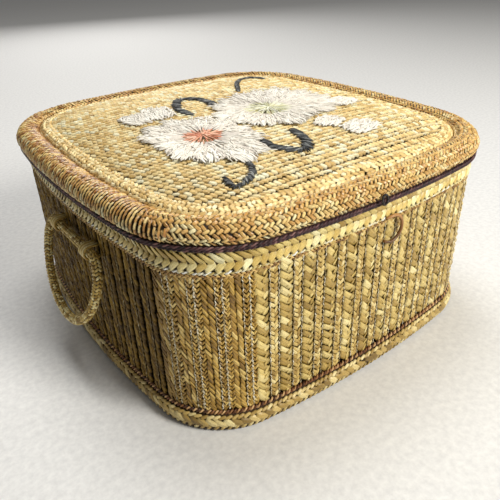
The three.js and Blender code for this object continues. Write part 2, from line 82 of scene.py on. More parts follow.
RING_RADIUS = 8.9
RING_OPEN = math.radians(120)
LINING_LOW = 4.8
LINING_HIGH = 121.6
PAD_DIAMOND = 34.0
EASED_EDGE = 0.35
LOOP_CENTRE = (-7.0, -150.7, 130.2)
LOOP_TILT = math.radians(-14)


# ---- Lines and the outline of eight tangent arcs ----


def arc_length(points):
    """The distance along a line of points, from 0."""
    return np.concatenate([[0.0], np.cumsum(np.linalg.norm(np.diff(points, axis=0), axis=1))])


def interpolate(at, s, values):
    """Each column of values, known at s, read at other places."""
    return np.stack([np.interp(at, s, column) for column in values.T], -1)


def all_round(length, count):
    """Evenly spaced places round a closed length."""
    return np.linspace(0, length, count, endpoint=False)


class Outline:
    """The box's outline seen from above, anticlockwise from the middle of the front."""

    def __init__(self, corner):
        right = np.array([HALF_WIDTH - SIDE_ARC, 0.0])
        rear = np.array([0.0, HALF_DEPTH - SIDE_ARC])
        along = rear - right
        across = np.array([-along[1], along[0]]) / np.hypot(*along)
        reach = SIDE_ARC - corner
        lift = math.sqrt(reach * reach - along @ along / 4)
        cx, cy = (right + rear) / 2 + across * lift
        low = math.atan2(cy, cx - right[0])
        high = math.atan2(cy - rear[1], cx)
        turn = math.pi / 2
        arcs = [
            ((0, -rear[1]), SIDE_ARC, -turn, -high),
            ((cx, -cy), corner, -high, -low),
            (right, SIDE_ARC, -low, low),
            ((cx, cy), corner, low, high),
            (rear, SIDE_ARC, high, 2 * turn - high),
            ((-cx, cy), corner, 2 * turn - high, 2 * turn - low),
            (-right, SIDE_ARC, 2 * turn - low, 2 * turn + low),
            ((-cx, -cy), corner, 2 * turn + low, 2 * turn + high),
            ((0, -rear[1]), SIDE_ARC, 2 * turn + high, 3 * turn),
        ]
        points, angles = [], []
        for centre, radius, start, end in arcs:
            steps = max(8, int(radius * (end - start) / 0.5))
            t = np.linspace(start, end, steps, endpoint=False)
            points.append(np.stack([centre[0] + radius * np.cos(t), centre[1] + radius * np.sin(t)], -1))
            angles.append(t)
        points = np.concatenate(points)
        angles = np.concatenate(angles)
        self.points = np.concatenate([points, points[:1]])
        self.angles = np.append(angles, 3 * turn)
        self.s = arc_length(self.points)
        self.length = self.s[-1]
        self.arc_starts = self.s[np.searchsorted(self.angles, [a[2] for a in arcs])]

    def at(self, s):
        """Point x, y and outward normal x, y at arc length s."""
        s = np.mod(s, self.length)
        angle = np.interp(s, self.s, self.angles)
        return *(np.interp(s, self.s, column) for column in self.points.T), np.cos(angle), np.sin(angle)

    def out_at(self, s, out, z):
        """Points at arc length s that stand out from the outline, at height z."""
        x, y, nx, ny = self.at(s)
        return np.stack(np.broadcast_arrays(x + nx * out, y + ny * out, z), -1)


BODY = Outline(BODY_CORNER)
LID = Outline(LID_CORNER)


# ---- Surfaces: each maps (u, v, h) in millimetres to points ----


def wall(u, v, h):
    """The wall's outer face, u along the outline and v up."""
    return BODY.out_at(u, h, v)


def rounded(section, rounds=2):
    """Chaikin's corner cutting, ends kept."""
    points = np.array(section, float)
    for _ in range(rounds):
        a, b = points[:-1], points[1:]
        cut = np.empty((2 * len(a), 2))
        cut[0::2] = 0.75 * a + 0.25 * b
        cut[1::2] = 0.25 * a + 0.75 * b
        points = np.concatenate([points[:1], cut, points[-1:]])
    return points


class Band:
    """A strip swept round an outline. v is the arc length along its section, from below and outside."""

    def __init__(self, outline, section):
        self.outline = outline
        self.section = rounded(section)
        self.v = arc_length(self.section)
        self.length = self.v[-1]
        slope = np.gradient(self.section, axis=0)
        slope /= np.hypot(slope[:, 0], slope[:, 1])[:, None]
        self.normal = np.stack([slope[:, 1], -slope[:, 0]], -1)

    def __call__(self, u, v, h):
        spot = interpolate(v, self.v, self.section) + h[..., None] * interpolate(v, self.v, self.normal)
        return self.outline.out_at(u, spot[..., 0], spot[..., 1])


class Dome:
    """The padded top of the lid. u and v are x and y."""

    def __init__(self):
        x, y, _ = LID.out_at(np.linspace(0, LID.length, 3000), PANEL_EDGE, 0).T
        self.angle = np.unwrap(np.arctan2(y, x))
        self.radius = np.hypot(x, y)

    def reach(self, x, y):
        angle = np.arctan2(y, x)
        angle = self.angle[0] + np.mod(angle - self.angle[0], 2 * math.pi)
        return np.hypot(x, y) / np.interp(angle, self.angle, self.radius)

    def height(self, x, y):
        reach = np.clip(self.reach(x, y), 0, 1)
        return PANEL_EDGE_Z + PANEL_RISE * np.maximum(1 - reach**5, 0) ** 0.8

    def __call__(self, u, v, h):
        step = 1.0
        z = self.height(u, v)
        dx = (self.height(u + step, v) - self.height(u - step, v)) / (2 * step)
        dy = (self.height(u, v + step) - self.height(u, v - step)) / (2 * step)
        size = np.sqrt(dx * dx + dy * dy + 1)
        return np.stack([u - h * dx / size, v - h * dy / size, z + h / size], -1)


DOME = Dome()


class Tube:
    """The skin of a tube along a closed flat curve. u runs along it, v round it."""

    def __init__(self, points, across, radius):
        self.curve = np.concatenate([points, points[:1]])
        self.s = arc_length(self.curve)
        self.length = self.s[-1]
        tangent = np.roll(points, -1, 0) - np.roll(points, 1, 0)
        tangent = np.concatenate([tangent, tangent[:1]])
        tangent /= np.linalg.norm(tangent, axis=1)[:, None]
        self.across = np.array(across, float)
        self.side = np.cross(tangent, self.across)
        self.radius = radius

    def __call__(self, u, v, h):
        u = np.mod(u, self.length)
        turn, reach = (v / self.radius)[..., None], (self.radius + h)[..., None]
        side = interpolate(u, self.s, self.side)
        return interpolate(u, self.s, self.curve) + reach * (np.cos(turn) * side + np.sin(turn) * self.across)


# ---- Stitches ----


# The column of a vertex is the crease it lies on, or -1.
Faces = namedtuple("Faces", "column loops starts uvs")


def skin(along, sides, closed=False):
    """Loops, face starts and UVs of rings of vertices, joined end to end or closed by two more vertices."""
    rings = len(along)
    r, k = np.meshgrid(np.arange(rings if closed else rings - 1), np.arange(sides), indexing="ij")
    nr, nk = (r + 1) % rings, (k + 1) % sides
    loops = np.stack([r * sides + k, r * sides + nk, nr * sides + nk, nr * sides + k], -1).ravel()
    starts = np.arange(0, len(loops), 4)
    along = np.append(along, 1.0)
    left, right, low, high = along[r], along[r + 1], k / sides, (k + 1) / sides
    uvs = np.stack([left, low, left, high, right, high, right, low], -1).reshape(-1, 2)
    if closed:
        return loops, starts, uvs
    k, same = np.arange(sides), np.ones(sides)
    n, end, apex = (k + 1) % sides, (rings - 1) * sides, rings * sides + 0 * k
    low, middle, high = k / sides, (k + 0.5) / sides, (k + 1) / sides
    caps = np.stack([[apex, n, k], [end + k, end + n, apex + 1]]).transpose(0, 2, 1).ravel()
    cap_uvs = np.stack([
        [0 * same, middle, along[0] * same, high, along[0] * same, low],
        [along[-2] * same, low, along[-2] * same, high, same, middle],
    ])
    starts = np.concatenate([starts, len(loops) + np.arange(0, len(caps), 3)])
    cap_uvs = cap_uvs.transpose(0, 2, 1).reshape(-1, 2)
    return np.concatenate([loops, caps]), starts, np.concatenate([uvs, cap_uvs])


@cache
def tube_faces(rings, sides, closed):
    """The faces of a tube with no creases."""
    column = np.full(rings * sides + (0 if closed else 2), -1)
    return Faces(column, *skin(np.arange(rings) / rings, sides, closed))


class Template:
    """A closed pillow of unit size. a runs along it, b across it and c up through it."""

    def __init__(self, rings, widths, sides=6, crown=1.0, section=None, creases=()):
        if section is None:
            turn = np.arange(sides) * 2 * math.pi / sides + math.pi / sides
            section = 0.5 * np.stack([np.cos(turn), np.sin(turn)], -1)
        sides = len(section)
        a, w = np.repeat(rings, sides), np.repeat(widths, sides)
        b, c = np.tile(section, (len(rings), 1)).T
        self.verts = np.concatenate([np.stack([a, b * w, c * w**crown], -1), [(-0.5, 0, 0), (0.5, 0, 0)]])
        column = [k if k in creases else -1 for k in range(sides)] * len(rings) + [-1, -1]
        self.faces = Faces(np.array(column), *skin(np.array(rings) + 0.5, sides))


GRAIN = Template([-0.44, -0.24, 0.0, 0.24, 0.44], [0.45, 0.88, 1.0, 0.88, 0.45])
SEED = Template([-0.4, 0.0, 0.4], [0.6, 1.0, 0.6])
FLAT_STRAW = [(0.5, -0.45), (0.46, 0.2), (0.2, 0.46), (-0.24, 0.4), (-0.47, 0.12), (-0.5, -0.45)]
FACET = Template(
    [-0.495, -0.42, -0.14, 0.14, 0.42, 0.495], [0.88, 1.0, 1.0, 1.0, 1.0, 0.88],
    section=FLAT_STRAW, crown=0.6, creases=(1, 2, 3, 4),
)
CHIP = Template(
    [-0.48, -0.3, 0.3, 0.48], [0.8, 1.0, 1.0, 0.8], section=FLAT_STRAW, crown=0.7, creases=(1, 2, 3, 4)
)
BLADE = Template([-0.46, -0.24, 0.0, 0.24, 0.44], [0.5, 0.95, 1.0, 0.9, 0.5], sides=5, crown=0.8)


def put(data, key, values, kind=np.float32):
    """Sets one property of every element at once."""
    data.foreach_set(key, np.asarray(values).astype(kind).ravel())


class Weave:
    """Gathers many stitches and tubes and builds them as one mesh."""

    def __init__(self, seed):
        self.rng = np.random.default_rng(seed)
        self.chunks = []
        self.count = 0

    def jitter(self, n, size):
        return size * self.rng.uniform(-1, 1, n)

    def stitch(self, surface, template, u, v, angle, length, width, height, **more):
        """One stitch at each (u, v). A pair is a mean and how far each stitch may stray from it.

        Its ends sink by bend, tip raises its far end and tilt its left side, and bow curves it sideways.
        Shear slants its ends: the tangent of its own angle makes them upright.
        """
        given = dict(u=u, v=v, angle=angle, length=length, width=width, height=height, **more)
        n = max(np.size(value[0] if isinstance(value, tuple) else value) for value in given.values())
        each = dict(lift=0.0, bend=0.0, tip=0.0, tilt=0.0, bow=0.0, shear=0.0, tint=0.5)
        for key, value in given.items():
            if isinstance(value, tuple):
                value = value[0] + self.jitter(n, value[1])
            each[key] = np.broadcast_to(np.ravel(value).astype(float), (n,))[:, None]
        a, b, c = (template.verts[:, k][None, :] for k in range(3))
        sideways = b * each["width"]
        along = a * each["length"] + each["shear"] * sideways
        sideways = sideways + each["bow"] * (1 - 4 * a * a)
        turn = each["angle"]
        du = np.cos(turn) * along - np.sin(turn) * sideways
        dv = np.sin(turn) * along + np.cos(turn) * sideways
        up = each["lift"] + c * each["height"] - each["bend"] * 4 * a * a
        up = up + each["tip"] * 2 * a + each["tilt"] * 2 * b
        # Colour attribute: tint, place along and height through the stitch. The material paints shade and
        # highlight from the last two.
        shade = np.stack(np.broadcast_arrays(np.clip(each["tint"], 0, 1), a + 0.5, c + 0.5 + 0 * up), -1)
        size = np.concatenate([each["length"], 2 * (each["width"] + each["height"])], 1)
        self.chunks.append((template.faces, surface(each["u"] + du, each["v"] + dv, up), shade, size))
        self.count += n

    def tube(self, path, tint, radius, closed=True, sides=6, depth=0.75):
        """A tube round a path, which is arrays of its centre and of two axes square to it. Its depth, low for
        dark, sets the painted shade its material gives it.
        """
        centre, first, second = (part[:, None] for part in path)
        rings = len(centre)
        turn = (np.arange(sides) * 2 * math.pi / sides)[:, None]
        radius = np.broadcast_to(radius, (rings,))[:, None, None]
        points = (centre + radius * (np.cos(turn) * first + np.sin(turn) * second)).reshape(-1, 3)
        shade = [np.broadcast_to(value, (rings,)) for value in (tint, 0.5, depth)]
        shade = np.repeat(np.stack(shade, -1), sides, axis=0)
        if not closed:
            points = np.concatenate([points, centre[0], centre[-1]])
            shade = np.concatenate([shade, shade[:1], shade[:1]])
        size = np.array([[arc_length(path[0])[-1], 2 * math.pi * radius.mean()]])
        self.chunks.append((tube_faces(rings, sides, closed), points[None], shade[None], size))
        self.count += 1

    def build(self, name, *how):
        """One finished piece, with a cell of its packed UV layer for each stitch.

        How is its material, body, slot and CAD nodes. The slot is not used.
        """
        grid = math.ceil(math.sqrt(self.count))
        coords, loops, starts, strand, pack, shade, folds = [], [], [], [], [], [], []
        vert_base = loop_base = cell = 0
        for faces, points, shades, scale in self.chunks:
            n, m = points.shape[:2]
            k = len(faces.loops)
            ids = np.arange(n)
            coords.append(points.reshape(-1, 3))
            shade.append(shades.reshape(-1, 3))
            spread = np.where(faces.column >= 0, faces.column + 100 * ids[:, None], -1)
            folds.append(np.where(spread >= 0, spread + 100 * cell, -1).ravel())
            loops.append((faces.loops[None, :] + ids[:, None] * m + vert_base).ravel())
            starts.append((faces.starts[None, :] + ids[:, None] * k + loop_base).ravel())
            seeds = self.rng.uniform(0, 50, (n, 1, 2))
            strand.append((faces.uvs[None] * scale[:, None, :] + seeds).reshape(-1, 2))
            column, row = (cell + ids) % grid, (cell + ids) // grid
            corner = np.stack([column, row], -1)[:, None, :]
            pack.append(((corner + 0.06 + 0.88 * faces.uvs[None]) / grid).reshape(-1, 2))
            vert_base += n * m
            loop_base += n * k
            cell += n
        mesh = bpy.data.meshes.new(name)
        coords, loops, starts = (np.concatenate(parts) for parts in (coords, loops, starts))
        mesh.vertices.add(len(coords))
        put(mesh.vertices, "co", coords * MM)
        mesh.loops.add(len(loops))
        put(mesh.loops, "vertex_index", loops, np.int32)
        mesh.polygons.add(len(starts))
        put(mesh.polygons, "loop_start", starts, np.int32)
        mesh.update(calc_edges=True)
        put(mesh.uv_layers.new(name="OFBake").data, "uv", np.concatenate(pack))
        put(mesh.uv_layers.new(name="strand").data, "uv", np.concatenate(strand))
        rgba = np.concatenate([np.concatenate(shade), np.ones((len(coords), 1))], 1)
        put(mesh.attributes.new("stitch", "FLOAT_COLOR", "POINT").data, "color", rgba)
        mesh.shade_smooth()
        folds = np.concatenate(folds)
        if folds.max() >= 0:
            ends = np.empty(2 * len(mesh.edges), np.int32)
            mesh.edges.foreach_get("vertices", ends)
            first, second = folds[ends[0::2]], folds[ends[1::2]]
            crease = (first >= 0) & (first == second)
            put(mesh.attributes.new("sharp_edge", "BOOLEAN", "EDGE").data, "value", crease, bool)
        return finished(mesh, *how)


def finished(mesh, material, body, slot, *nodes):
    """The mesh as a piece that rides on a body and stands for CAD nodes."""
    mesh.materials.clear()
    mesh.materials.append(material)
    piece = bpy.data.objects.new(mesh.name, mesh)
    bpy.context.scene.collection.objects.link(piece)
    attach(piece, body)
    if nodes:
        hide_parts(*nodes)
    return piece


# ---- Materials ----


def linear(colour):
    """A grey level, or red, green and blue from 0 to 255, as the shader's linear colour."""
    if isinstance(colour, (int, float)):
        return (colour, colour, colour, 1.0)
    parts = np.array(colour) / 255
    return (*np.where(parts <= 0.04045, parts / 12.92, ((parts + 0.055) / 1.055) ** 2.4), 1.0)


class Nodes:
    """Short calls for a material's nodes."""

    def __init__(self, name, roughness, metallic=0.0, specular=0.5):
        self.material = bpy.data.materials.new(name)
        self.material.use_nodes = True
        self.tree = self.material.node_tree
        self.shader = self.tree.nodes["Principled BSDF"]
        self.shader.inputs["Roughness"].default_value = roughness
        self.shader.inputs["Metallic"].default_value = metallic
        self.shader.inputs["Specular IOR Level"].default_value = specular

    def new(self, kind, **inputs):
        node = self.tree.nodes.new(kind)
        for key, value in inputs.items():
            self.put(node, key.replace("_", " "), value)
        return node

    def put(self, node, key, value):
        socket = node.inputs[int(key)] if key.isdigit() else node.inputs[key]
        if isinstance(value, bpy.types.NodeSocket):
            self.tree.links.new(value, socket)
        else:
            socket.default_value = value

    def ramp(self, factor, stops):
        node = self.new("ShaderNodeValToRGB", Fac=factor)
        elements = node.color_ramp.elements
        while len(elements) < len(stops):
            elements.new(0.5)
        for element, (place, colour) in zip(elements, stops):
            element.position = place
            element.color = linear(colour)
        return node.outputs["Color"]

    def mix(self, kind, factor, a, b):
        node = self.tree.nodes.new("ShaderNodeMix")
        node.data_type = "RGBA"
        node.blend_type = kind
        for index, value in ((0, factor), (6, a), (7, b)):
            self.put(node, str(index), value)
        return node.outputs[2]

    def times(self, colour, ramp, amount=1.0):
        return self.mix("MULTIPLY", amount, colour, self.ramp(*ramp))

    def maths(self, kind, a, b=0.0):
        node = self.tree.nodes.new("ShaderNodeMath")
        node.operation = kind
        self.put(node, "0", a)
        self.put(node, "1", b)
        return node.outputs[0]

    def noise(self, vector, scale, detail=3.0, roughness=0.5, output="Fac"):
        node = self.new("ShaderNodeTexNoise", Vector=vector, Scale=scale, Detail=detail, Roughness=roughness)
        return node.outputs[output]

    def stretched(self, vector, *scale):
        node = self.new("ShaderNodeMapping", Vector=vector, Scale=scale)
        return node.outputs["Vector"]

    def place(self):
        return self.new("ShaderNodeTexCoord").outputs["Object"]

    def bump(self, height, strength, distance):
        node = self.new("ShaderNodeBump", Height=height, Strength=strength, Distance=distance)
        self.tree.links.new(node.outputs["Normal"], self.shader.inputs["Normal"])

    def paint(self, colour):
        self.tree.links.new(colour, self.shader.inputs["Base Color"])
        return self.material


def strand_material(
    name, palette, roughness, crevice_shade=0.42, fibre=0.5, streak=(0.5, 7.0), stain=None, stain_scale=95.0,
    specular=0.5, sink=0.05, highlight_and_end_shade=((0.0, 0.62), (0.2, 1.0), (0.8, 1.0), (1.0, 0.62)),
):
    """Straw, raffia or cord: a tint for each strand and fine fibres along it. Painted shade darkens it where
    it sinks, and along each stitch there is a painted highlight in the middle and painted shade at the ends.
    """
    n = Nodes(name, roughness, specular=specular)
    attribute = n.tree.nodes.new("ShaderNodeAttribute")
    attribute.attribute_name = "stitch"
    parts = n.new("ShaderNodeSeparateColor", Color=attribute.outputs["Color"])
    tint, along, depth = parts.outputs
    place = n.place()
    patches = n.noise(place, 38.0, 4.0, 0.6)
    shift = n.maths("MULTIPLY", n.maths("SUBTRACT", patches, 0.5), 0.5)
    stops = [(i / (len(palette) - 1), c) for i, c in enumerate(palette)]
    colour = n.ramp(n.maths("ADD", tint, shift), stops)
    uv = n.tree.nodes.new("ShaderNodeUVMap")
    uv.uv_map = "strand"
    lines = n.noise(n.stretched(uv.outputs["UV"], streak[0], streak[1], 1.0), 1.0, 4.0, 0.65)
    colour = n.times(colour, (lines, [(0.3, 1 - fibre), (0.52, 0.95), (0.7, 1.12)]))
    if stain is not None:
        blots = n.noise(place, stain_scale, 3.0, 0.7)
        colour = n.mix("MIX", n.ramp(blots, [(0.56, 0.0), (0.7, 0.6)]), colour, linear(stain))
    # Painted shade: darker where the stitch sinks low between its neighbours, a little lighter at its top.
    colour = n.times(colour, (depth, [(sink, crevice_shade), (max(0.62, sink + 0.4), 0.95), (1.0, 1.08)]))
    # Painted highlight and shade along each stitch: lighter in its middle, darker at its ends where it dives
    # under.
    colour = n.times(colour, (along, highlight_and_end_shade))
    n.bump(lines, 0.55, 0.00012)
    return n.paint(colour)


def ground_material(name, dark, light):
    """Dark straw that shows between the stitches, its colour darkened further as painted shade in the gaps.
    """
    n = Nodes(name, 0.8)
    grain = n.noise(n.stretched(n.place(), 1.0, 1.0, 0.4), 900.0, 4.0, 0.6)
    n.bump(grain, 0.6, 0.0003)
    return n.paint(n.ramp(grain, [(0.3, dark), (0.7, light)]))


def satin_material(name, base, light):
    """Woven satin: fine crossed threads, a soft sheen, and painted light and shade of soft folds in its
    colour.
    """
    n = Nodes(name, 0.36)
    n.shader.inputs["Sheen Weight"].default_value = 0.22
    n.shader.inputs["Sheen Roughness"].default_value = 0.4
    place = n.place()
    warp = n.noise(n.stretched(place, 1.0, 0.12, 0.12), 2600.0, 2.0)
    weft = n.noise(n.stretched(place, 0.12, 1.0, 1.0), 2600.0, 2.0)
    threads = n.maths("ADD", n.maths("MULTIPLY", warp, 0.5), n.maths("MULTIPLY", weft, 0.5))
    # Painted light and shade of soft folds: the colour goes lighter and darker in broad patches.
    folds = n.noise(place, 26.0, 3.0)
    colour = n.ramp(folds, [(0.3, base), (0.72, light)])
    colour = n.times(colour, (threads, [(0.35, 0.82), (0.65, 1.1)]))
    n.bump(threads, 0.35, 0.00008)
    return n.paint(colour)


def cloth_material(name, dark, light):
    """Plain cotton piping: a visible weave of warp and weft, a little rubbed in soft patches."""
    n = Nodes(name, 0.7)
    n.shader.inputs["Sheen Weight"].default_value = 0.05
    place = n.place()
    weave = n.new("ShaderNodeTexWave", Vector=n.stretched(place, 1.0, 1.0, 1.6), Scale=420.0, Distortion=1.2)
    fuzz = n.noise(place, 700.0, 5.0, 0.7)
    worn = n.noise(place, 60.0, 3.0)
    blend = n.maths("ADD", n.maths("MULTIPLY", fuzz, 0.7), n.maths("MULTIPLY", worn, 0.4))
    colour = n.ramp(blend, [(0.38, dark), (0.72, light)])
    colour = n.times(colour, (weave.outputs["Fac"], [(0.2, 0.6), (0.8, 1.1)]), 0.5)
    n.bump(weave.outputs["Fac"], 0.4, 0.00015)
    return n.paint(colour)


def wood_material(name, dark, mid, light):
    """Varnished wood, its grain along x."""
    n = Nodes(name, 0.48)
    place = n.place()
    bent = n.noise(place, 9.0, 2.0, output="Color")
    warped = n.mix("LINEAR_LIGHT", 0.03, place, bent)
    grain = n.noise(n.stretched(warped, 1.4, 16.0, 16.0), 24.0, 6.0, 0.62)
    pores = n.noise(n.stretched(place, 6.0, 70.0, 70.0), 30.0, 2.0)
    colour = n.ramp(grain, [(0.3, dark), (0.5, mid), (0.7, light)])
    colour = n.times(colour, (pores, [(0.34, 0.72), (0.44, 1.0)]))
    n.bump(grain, 0.25, 0.0002)
    return n.paint(colour)


def brass_material(name):
    """Old brass, stained and finely scratched."""
    n = Nodes(name, 0.34, metallic=1.0)
    place = n.place()
    patina = n.noise(place, 160.0, 5.0, 0.7)
    scratch = n.noise(n.stretched(place, 0.2, 2.4, 2.4), 900.0, 3.0)
    colour = n.ramp(patina, [(0.34, (112, 82, 34)), (0.6, (186, 146, 66)), (0.8, (214, 178, 96))])
    n.bump(scratch, 0.2, 0.00005)
    return n.paint(colour)


STRAW = strand_material(
    "straw", [(110, 80, 26), (160, 124, 50), (194, 158, 76), (238, 214, 142)], 0.36, crevice_shade=0.1, sink=0.3
)
NARROW_STRAW = strand_material(
    "narrow_straw", [(134, 104, 46), (178, 146, 74), (208, 180, 106), (242, 226, 168)], 0.4, crevice_shade=0.24
)
WIDE_STRAW = strand_material(
    "wide_straw", [(128, 100, 42), (170, 140, 70), (196, 168, 94), (216, 192, 120), (250, 236, 180)],
    0.32, crevice_shade=0.16, sink=0.2, highlight_and_end_shade=((0.0, 0.74), (0.2, 1.14), (0.45, 1.06), (0.75, 0.84), (1.0, 0.46)),
)
# Straw of the ribs on the left end: browner than the other straws, and darkened further as painted shade for
# that end.
SHADED_RIB_STRAW = strand_material(
    "shaded_rib_straw", [(78, 55, 11), (114, 86, 22), (148, 115, 38), (196, 166, 82)],
    0.42, crevice_shade=0.1, sink=0.3, specular=0.22,
)
RIM_STRAW = strand_material(
    "rim_straw", [(170, 137, 62), (218, 188, 108), (238, 214, 134), (255, 246, 194)],
    0.32, crevice_shade=0.12, sink=0.25, highlight_and_end_shade=((0.0, 0.6), (0.2, 1.08), (0.55, 1.0), (1.0, 0.62)),
)
FOOT_STRAW = strand_material(
    "foot_straw", [(126, 100, 48), (172, 142, 74), (204, 176, 106), (236, 218, 158)],
    0.45, crevice_shade=0.2, sink=0.15,
)
ROLL_STRAW = strand_material(
    "roll_straw", [(152, 102, 52), (202, 151, 83), (228, 184, 110), (246, 214, 140), (255, 248, 200)],
    0.28, crevice_shade=0.07, sink=0.5, stain=(180, 112, 64), stain_scale=150.0,
)
ROLL_FIBRE = strand_material(
    "roll_fibre", [(112, 74, 40), (144, 100, 58), (172, 128, 78), (204, 162, 110)], 0.4, crevice_shade=0.35
)
PANEL_STRAW = strand_material(
    "panel_straw", [(206, 170, 102), (243, 211, 142), (255, 233, 172), (255, 252, 220)],
    0.42, crevice_shade=0.08, sink=0.32, highlight_and_end_shade=((0.0, 0.58), (0.25, 1.12), (0.6, 1.04), (1.0, 0.58)),
)
PALE_CORD = strand_material(
    "pale_cord", [(188, 162, 92), (214, 194, 126), (232, 220, 170), (252, 252, 244)], 0.5
)
THREAD_GREY = strand_material(
    "thread_grey", [(128, 106, 66), (188, 172, 130), (236, 230, 210)], 0.6, crevice_shade=0.5
)
BROWN_BRAID = strand_material(
    "brown_braid", [(112, 78, 40), (170, 130, 70), (204, 168, 98), (224, 194, 126)], 0.5
)
RUST_CORD = strand_material(
    "rust_cord", [(70, 36, 14), (116, 68, 32), (162, 112, 64), (216, 174, 120)], 0.45, crevice_shade=0.3
)
PALE_RAFFIA = strand_material(
    "pale_raffia", [(198, 188, 179), (224, 216, 204), (240, 234, 221), (250, 247, 238)],
    0.6, crevice_shade=0.74, fibre=0.2, highlight_and_end_shade=((0.0, 0.9), (0.2, 1.0), (0.8, 1.0), (1.0, 0.96)),
)
PINK_RAFFIA = strand_material(
    "pink_raffia", [(204, 120, 88), (228, 158, 124), (240, 196, 168)], 0.5, crevice_shade=0.5, fibre=0.25
)
GREEN_RAFFIA = strand_material(
    "green_raffia", [(192, 184, 128), (220, 219, 176), (236, 235, 206), (248, 247, 230)],
    0.5, crevice_shade=0.6, fibre=0.25,
)
DARK_RAFFIA = strand_material(
    "dark_raffia", [(24, 25, 26), (46, 48, 49), (78, 81, 81), (148, 150, 147)],
    0.5, crevice_shade=0.45, fibre=0.35,
)
CANE = strand_material("cane", [(96, 62, 26), (146, 100, 50), (184, 134, 78)], 0.4, crevice_shade=0.8, fibre=0.35)
HANDLE_STRAW = strand_material(
    "handle_straw", [(138, 106, 42), (194, 160, 80), (222, 194, 116), (254, 242, 186)],
    0.3, crevice_shade=0.2, sink=0.15,
)
PIPING_THREAD = strand_material(
    "piping_thread", [(28, 11, 14), (52, 24, 28), (82, 46, 48), (138, 100, 96)],
    0.55, crevice_shade=0.35, fibre=0.5,
)
DARK_THREAD = strand_material("dark_thread", [(18, 13, 14), (36, 28, 28), (104, 88, 88)], 0.6, crevice_shade=0.6)
# The grounds are dark straw darkened further: painted shade that shows in the gaps between the stitches.
SHADED_GROUND = ground_material("straw_ground", (36, 24, 10), (78, 54, 24))
SHADED_PANEL_GROUND = ground_material("panel_ground", (20, 12, 5), (52, 34, 15))
SHADED_WEAVE_GROUND = ground_material("weave_ground", (40, 28, 12), (92, 68, 34))
SATIN = satin_material("maroon_satin", (108, 34, 33), (128, 44, 42))
PIPING_CLOTH = cloth_material("maroon_cloth", (24, 8, 10), (72, 32, 34))
WOOD = wood_material("tray_wood", (132, 90, 50), (176, 130, 78), (202, 160, 104))
BOARD = wood_material("board", (120, 92, 56), (162, 130, 86), (184, 152, 106))
BRASS = brass_material("brass")


# ---- Grounds under the stitches ----


def grid_mesh(name, points, closed_u=True):
    """A mesh over points[u, v], in millimetres, closed along v, with a packed UV layer."""
    nu, nv = points.shape[:2]
    r, k = np.meshgrid(np.arange(nu if closed_u else nu - 1), np.arange(nv), indexing="ij")
    nr, nk = (r + 1) % nu, (k + 1) % nv
    faces = np.stack([r * nv + k, nr * nv + k, nr * nv + nk, r * nv + nk], -1).reshape(-1, 4)
    mesh = bpy.data.meshes.new(name)
    mesh.from_pydata((points.reshape(-1, 3) * MM).tolist(), [], faces.tolist())
    left, right, low, high = r / nu, (r + 1) / nu, k / nv, (k + 1) / nv
    uvs = np.stack([left, low, right, low, right, high, left, high], -1)
    put(mesh.uv_layers.new(name="OFBake").data, "uv", uvs)
    mesh.shade_smooth()
    return mesh


def hoop(outline, section, steps=420):
    """A closed section swept round an outline."""
    return outline.out_at(all_round(outline.length, steps)[:, None], *np.array(section, float).T)


def facing_out(mesh, fill_holes=False):
    """The mesh with its open edges filled where asked, and all its faces turned outward."""
    shape = bmesh.new()
    shape.from_mesh(mesh)
    if fill_holes:
        bmesh.ops.holes_fill(shape, edges=[edge for edge in shape.edges if edge.is_boundary])
    bmesh.ops.recalc_face_normals(shape, faces=shape.faces)
    shape.to_mesh(mesh)
    shape.free()
    return mesh


def shell(name, points, *how):
    """A closed grid of points as a finished piece. How is its material, body, slot and CAD node. The slot is
    not used.
    """
    return finished(facing_out(grid_mesh(name, points)), *how)


# ---- Side wall ----

WALL_LOW = 16.2
WALL_HIGH = 108.6
REPEAT = 15.9  # one wide plait, one narrow plait and their two threads
RIB_REPEAT = 14.8  # one wide and one narrow rib, on the left end
BAND_REPEAT = 16.0  # one wide band, two narrow braids and their threads, at the front left corner


def up_the_wall(weave, pitch, margin):
    """Slightly uneven heights for stitches from the foot cord to the rim."""
    z = np.arange(WALL_LOW, WALL_HIGH + 0.6 * pitch, pitch) + weave.rng.uniform(-0.5, 0.5) * pitch
    z = z + weave.jitter(len(z), 0.08 * pitch)
    return np.clip(z, WALL_LOW + margin, WALL_HIGH - margin)


def repeats(start, end, size):
    """Starts of equal repeats that fill a stretch of the wall."""
    count = round((end - start) / size)
    return start + (end - start) * np.arange(count) / count


def lay_column(
    weave, template, centre, pitch, lean, spread, length, width, height, lift=-0.5, bend=0.5, tip=0.0,
    tilt=0.0, rough=0.25, shear=0.5, tint=0.5,
):
    """Slanted stitches one above another up the wall."""
    z = up_the_wall(weave, pitch * (1 + weave.jitter(1, 0.05)[0]), 0.06 * length)
    slant = math.radians(lean) + weave.jitter(len(z), spread)
    weave.stitch(
        wall, template, (centre, 0.02 * length), z, slant, (length, 0.06 * length), (width, 0.1 * width),
        height, tip=(tip, rough), tilt=(tilt, rough), lift=(lift, 0.12), bend=bend,
        bow=(0, 0.03 * length), shear=shear * np.tan(slant), tint=(tint, 0.38),
    )


def lay_braid(weave, centre, half, pitch, lean, length, width, height, tint):
    """Two lanes of small straws that meet in a herringbone up the wall."""
    for side in (-1, 1):
        lay_column(
            weave, CHIP, centre + side * half, pitch, side * lean, 0.14, length, width, height,
            lift=-0.35, bend=0.45, tip=-0.2 * side, rough=0.22, shear=0.4, tint=tint,
        )


def lay_thread(weave, centre, pitch, width, tint):
    """A fine thread sewn up the wall, seen as one short stitch after another."""
    z = up_the_wall(weave, pitch, 0.6)
    lean = math.radians(90) + np.where(np.arange(len(z)) % 2, 0.3, -0.3) + weave.jitter(len(z), 0.15)
    weave.stitch(
        wall, SEED, (centre, 0.15), z, lean, pitch * 1.2, (width, 0.3 * width), 0.6, lift=(0.25, 0.1),
        bend=0.3, tint=(tint, 0.5),
    )


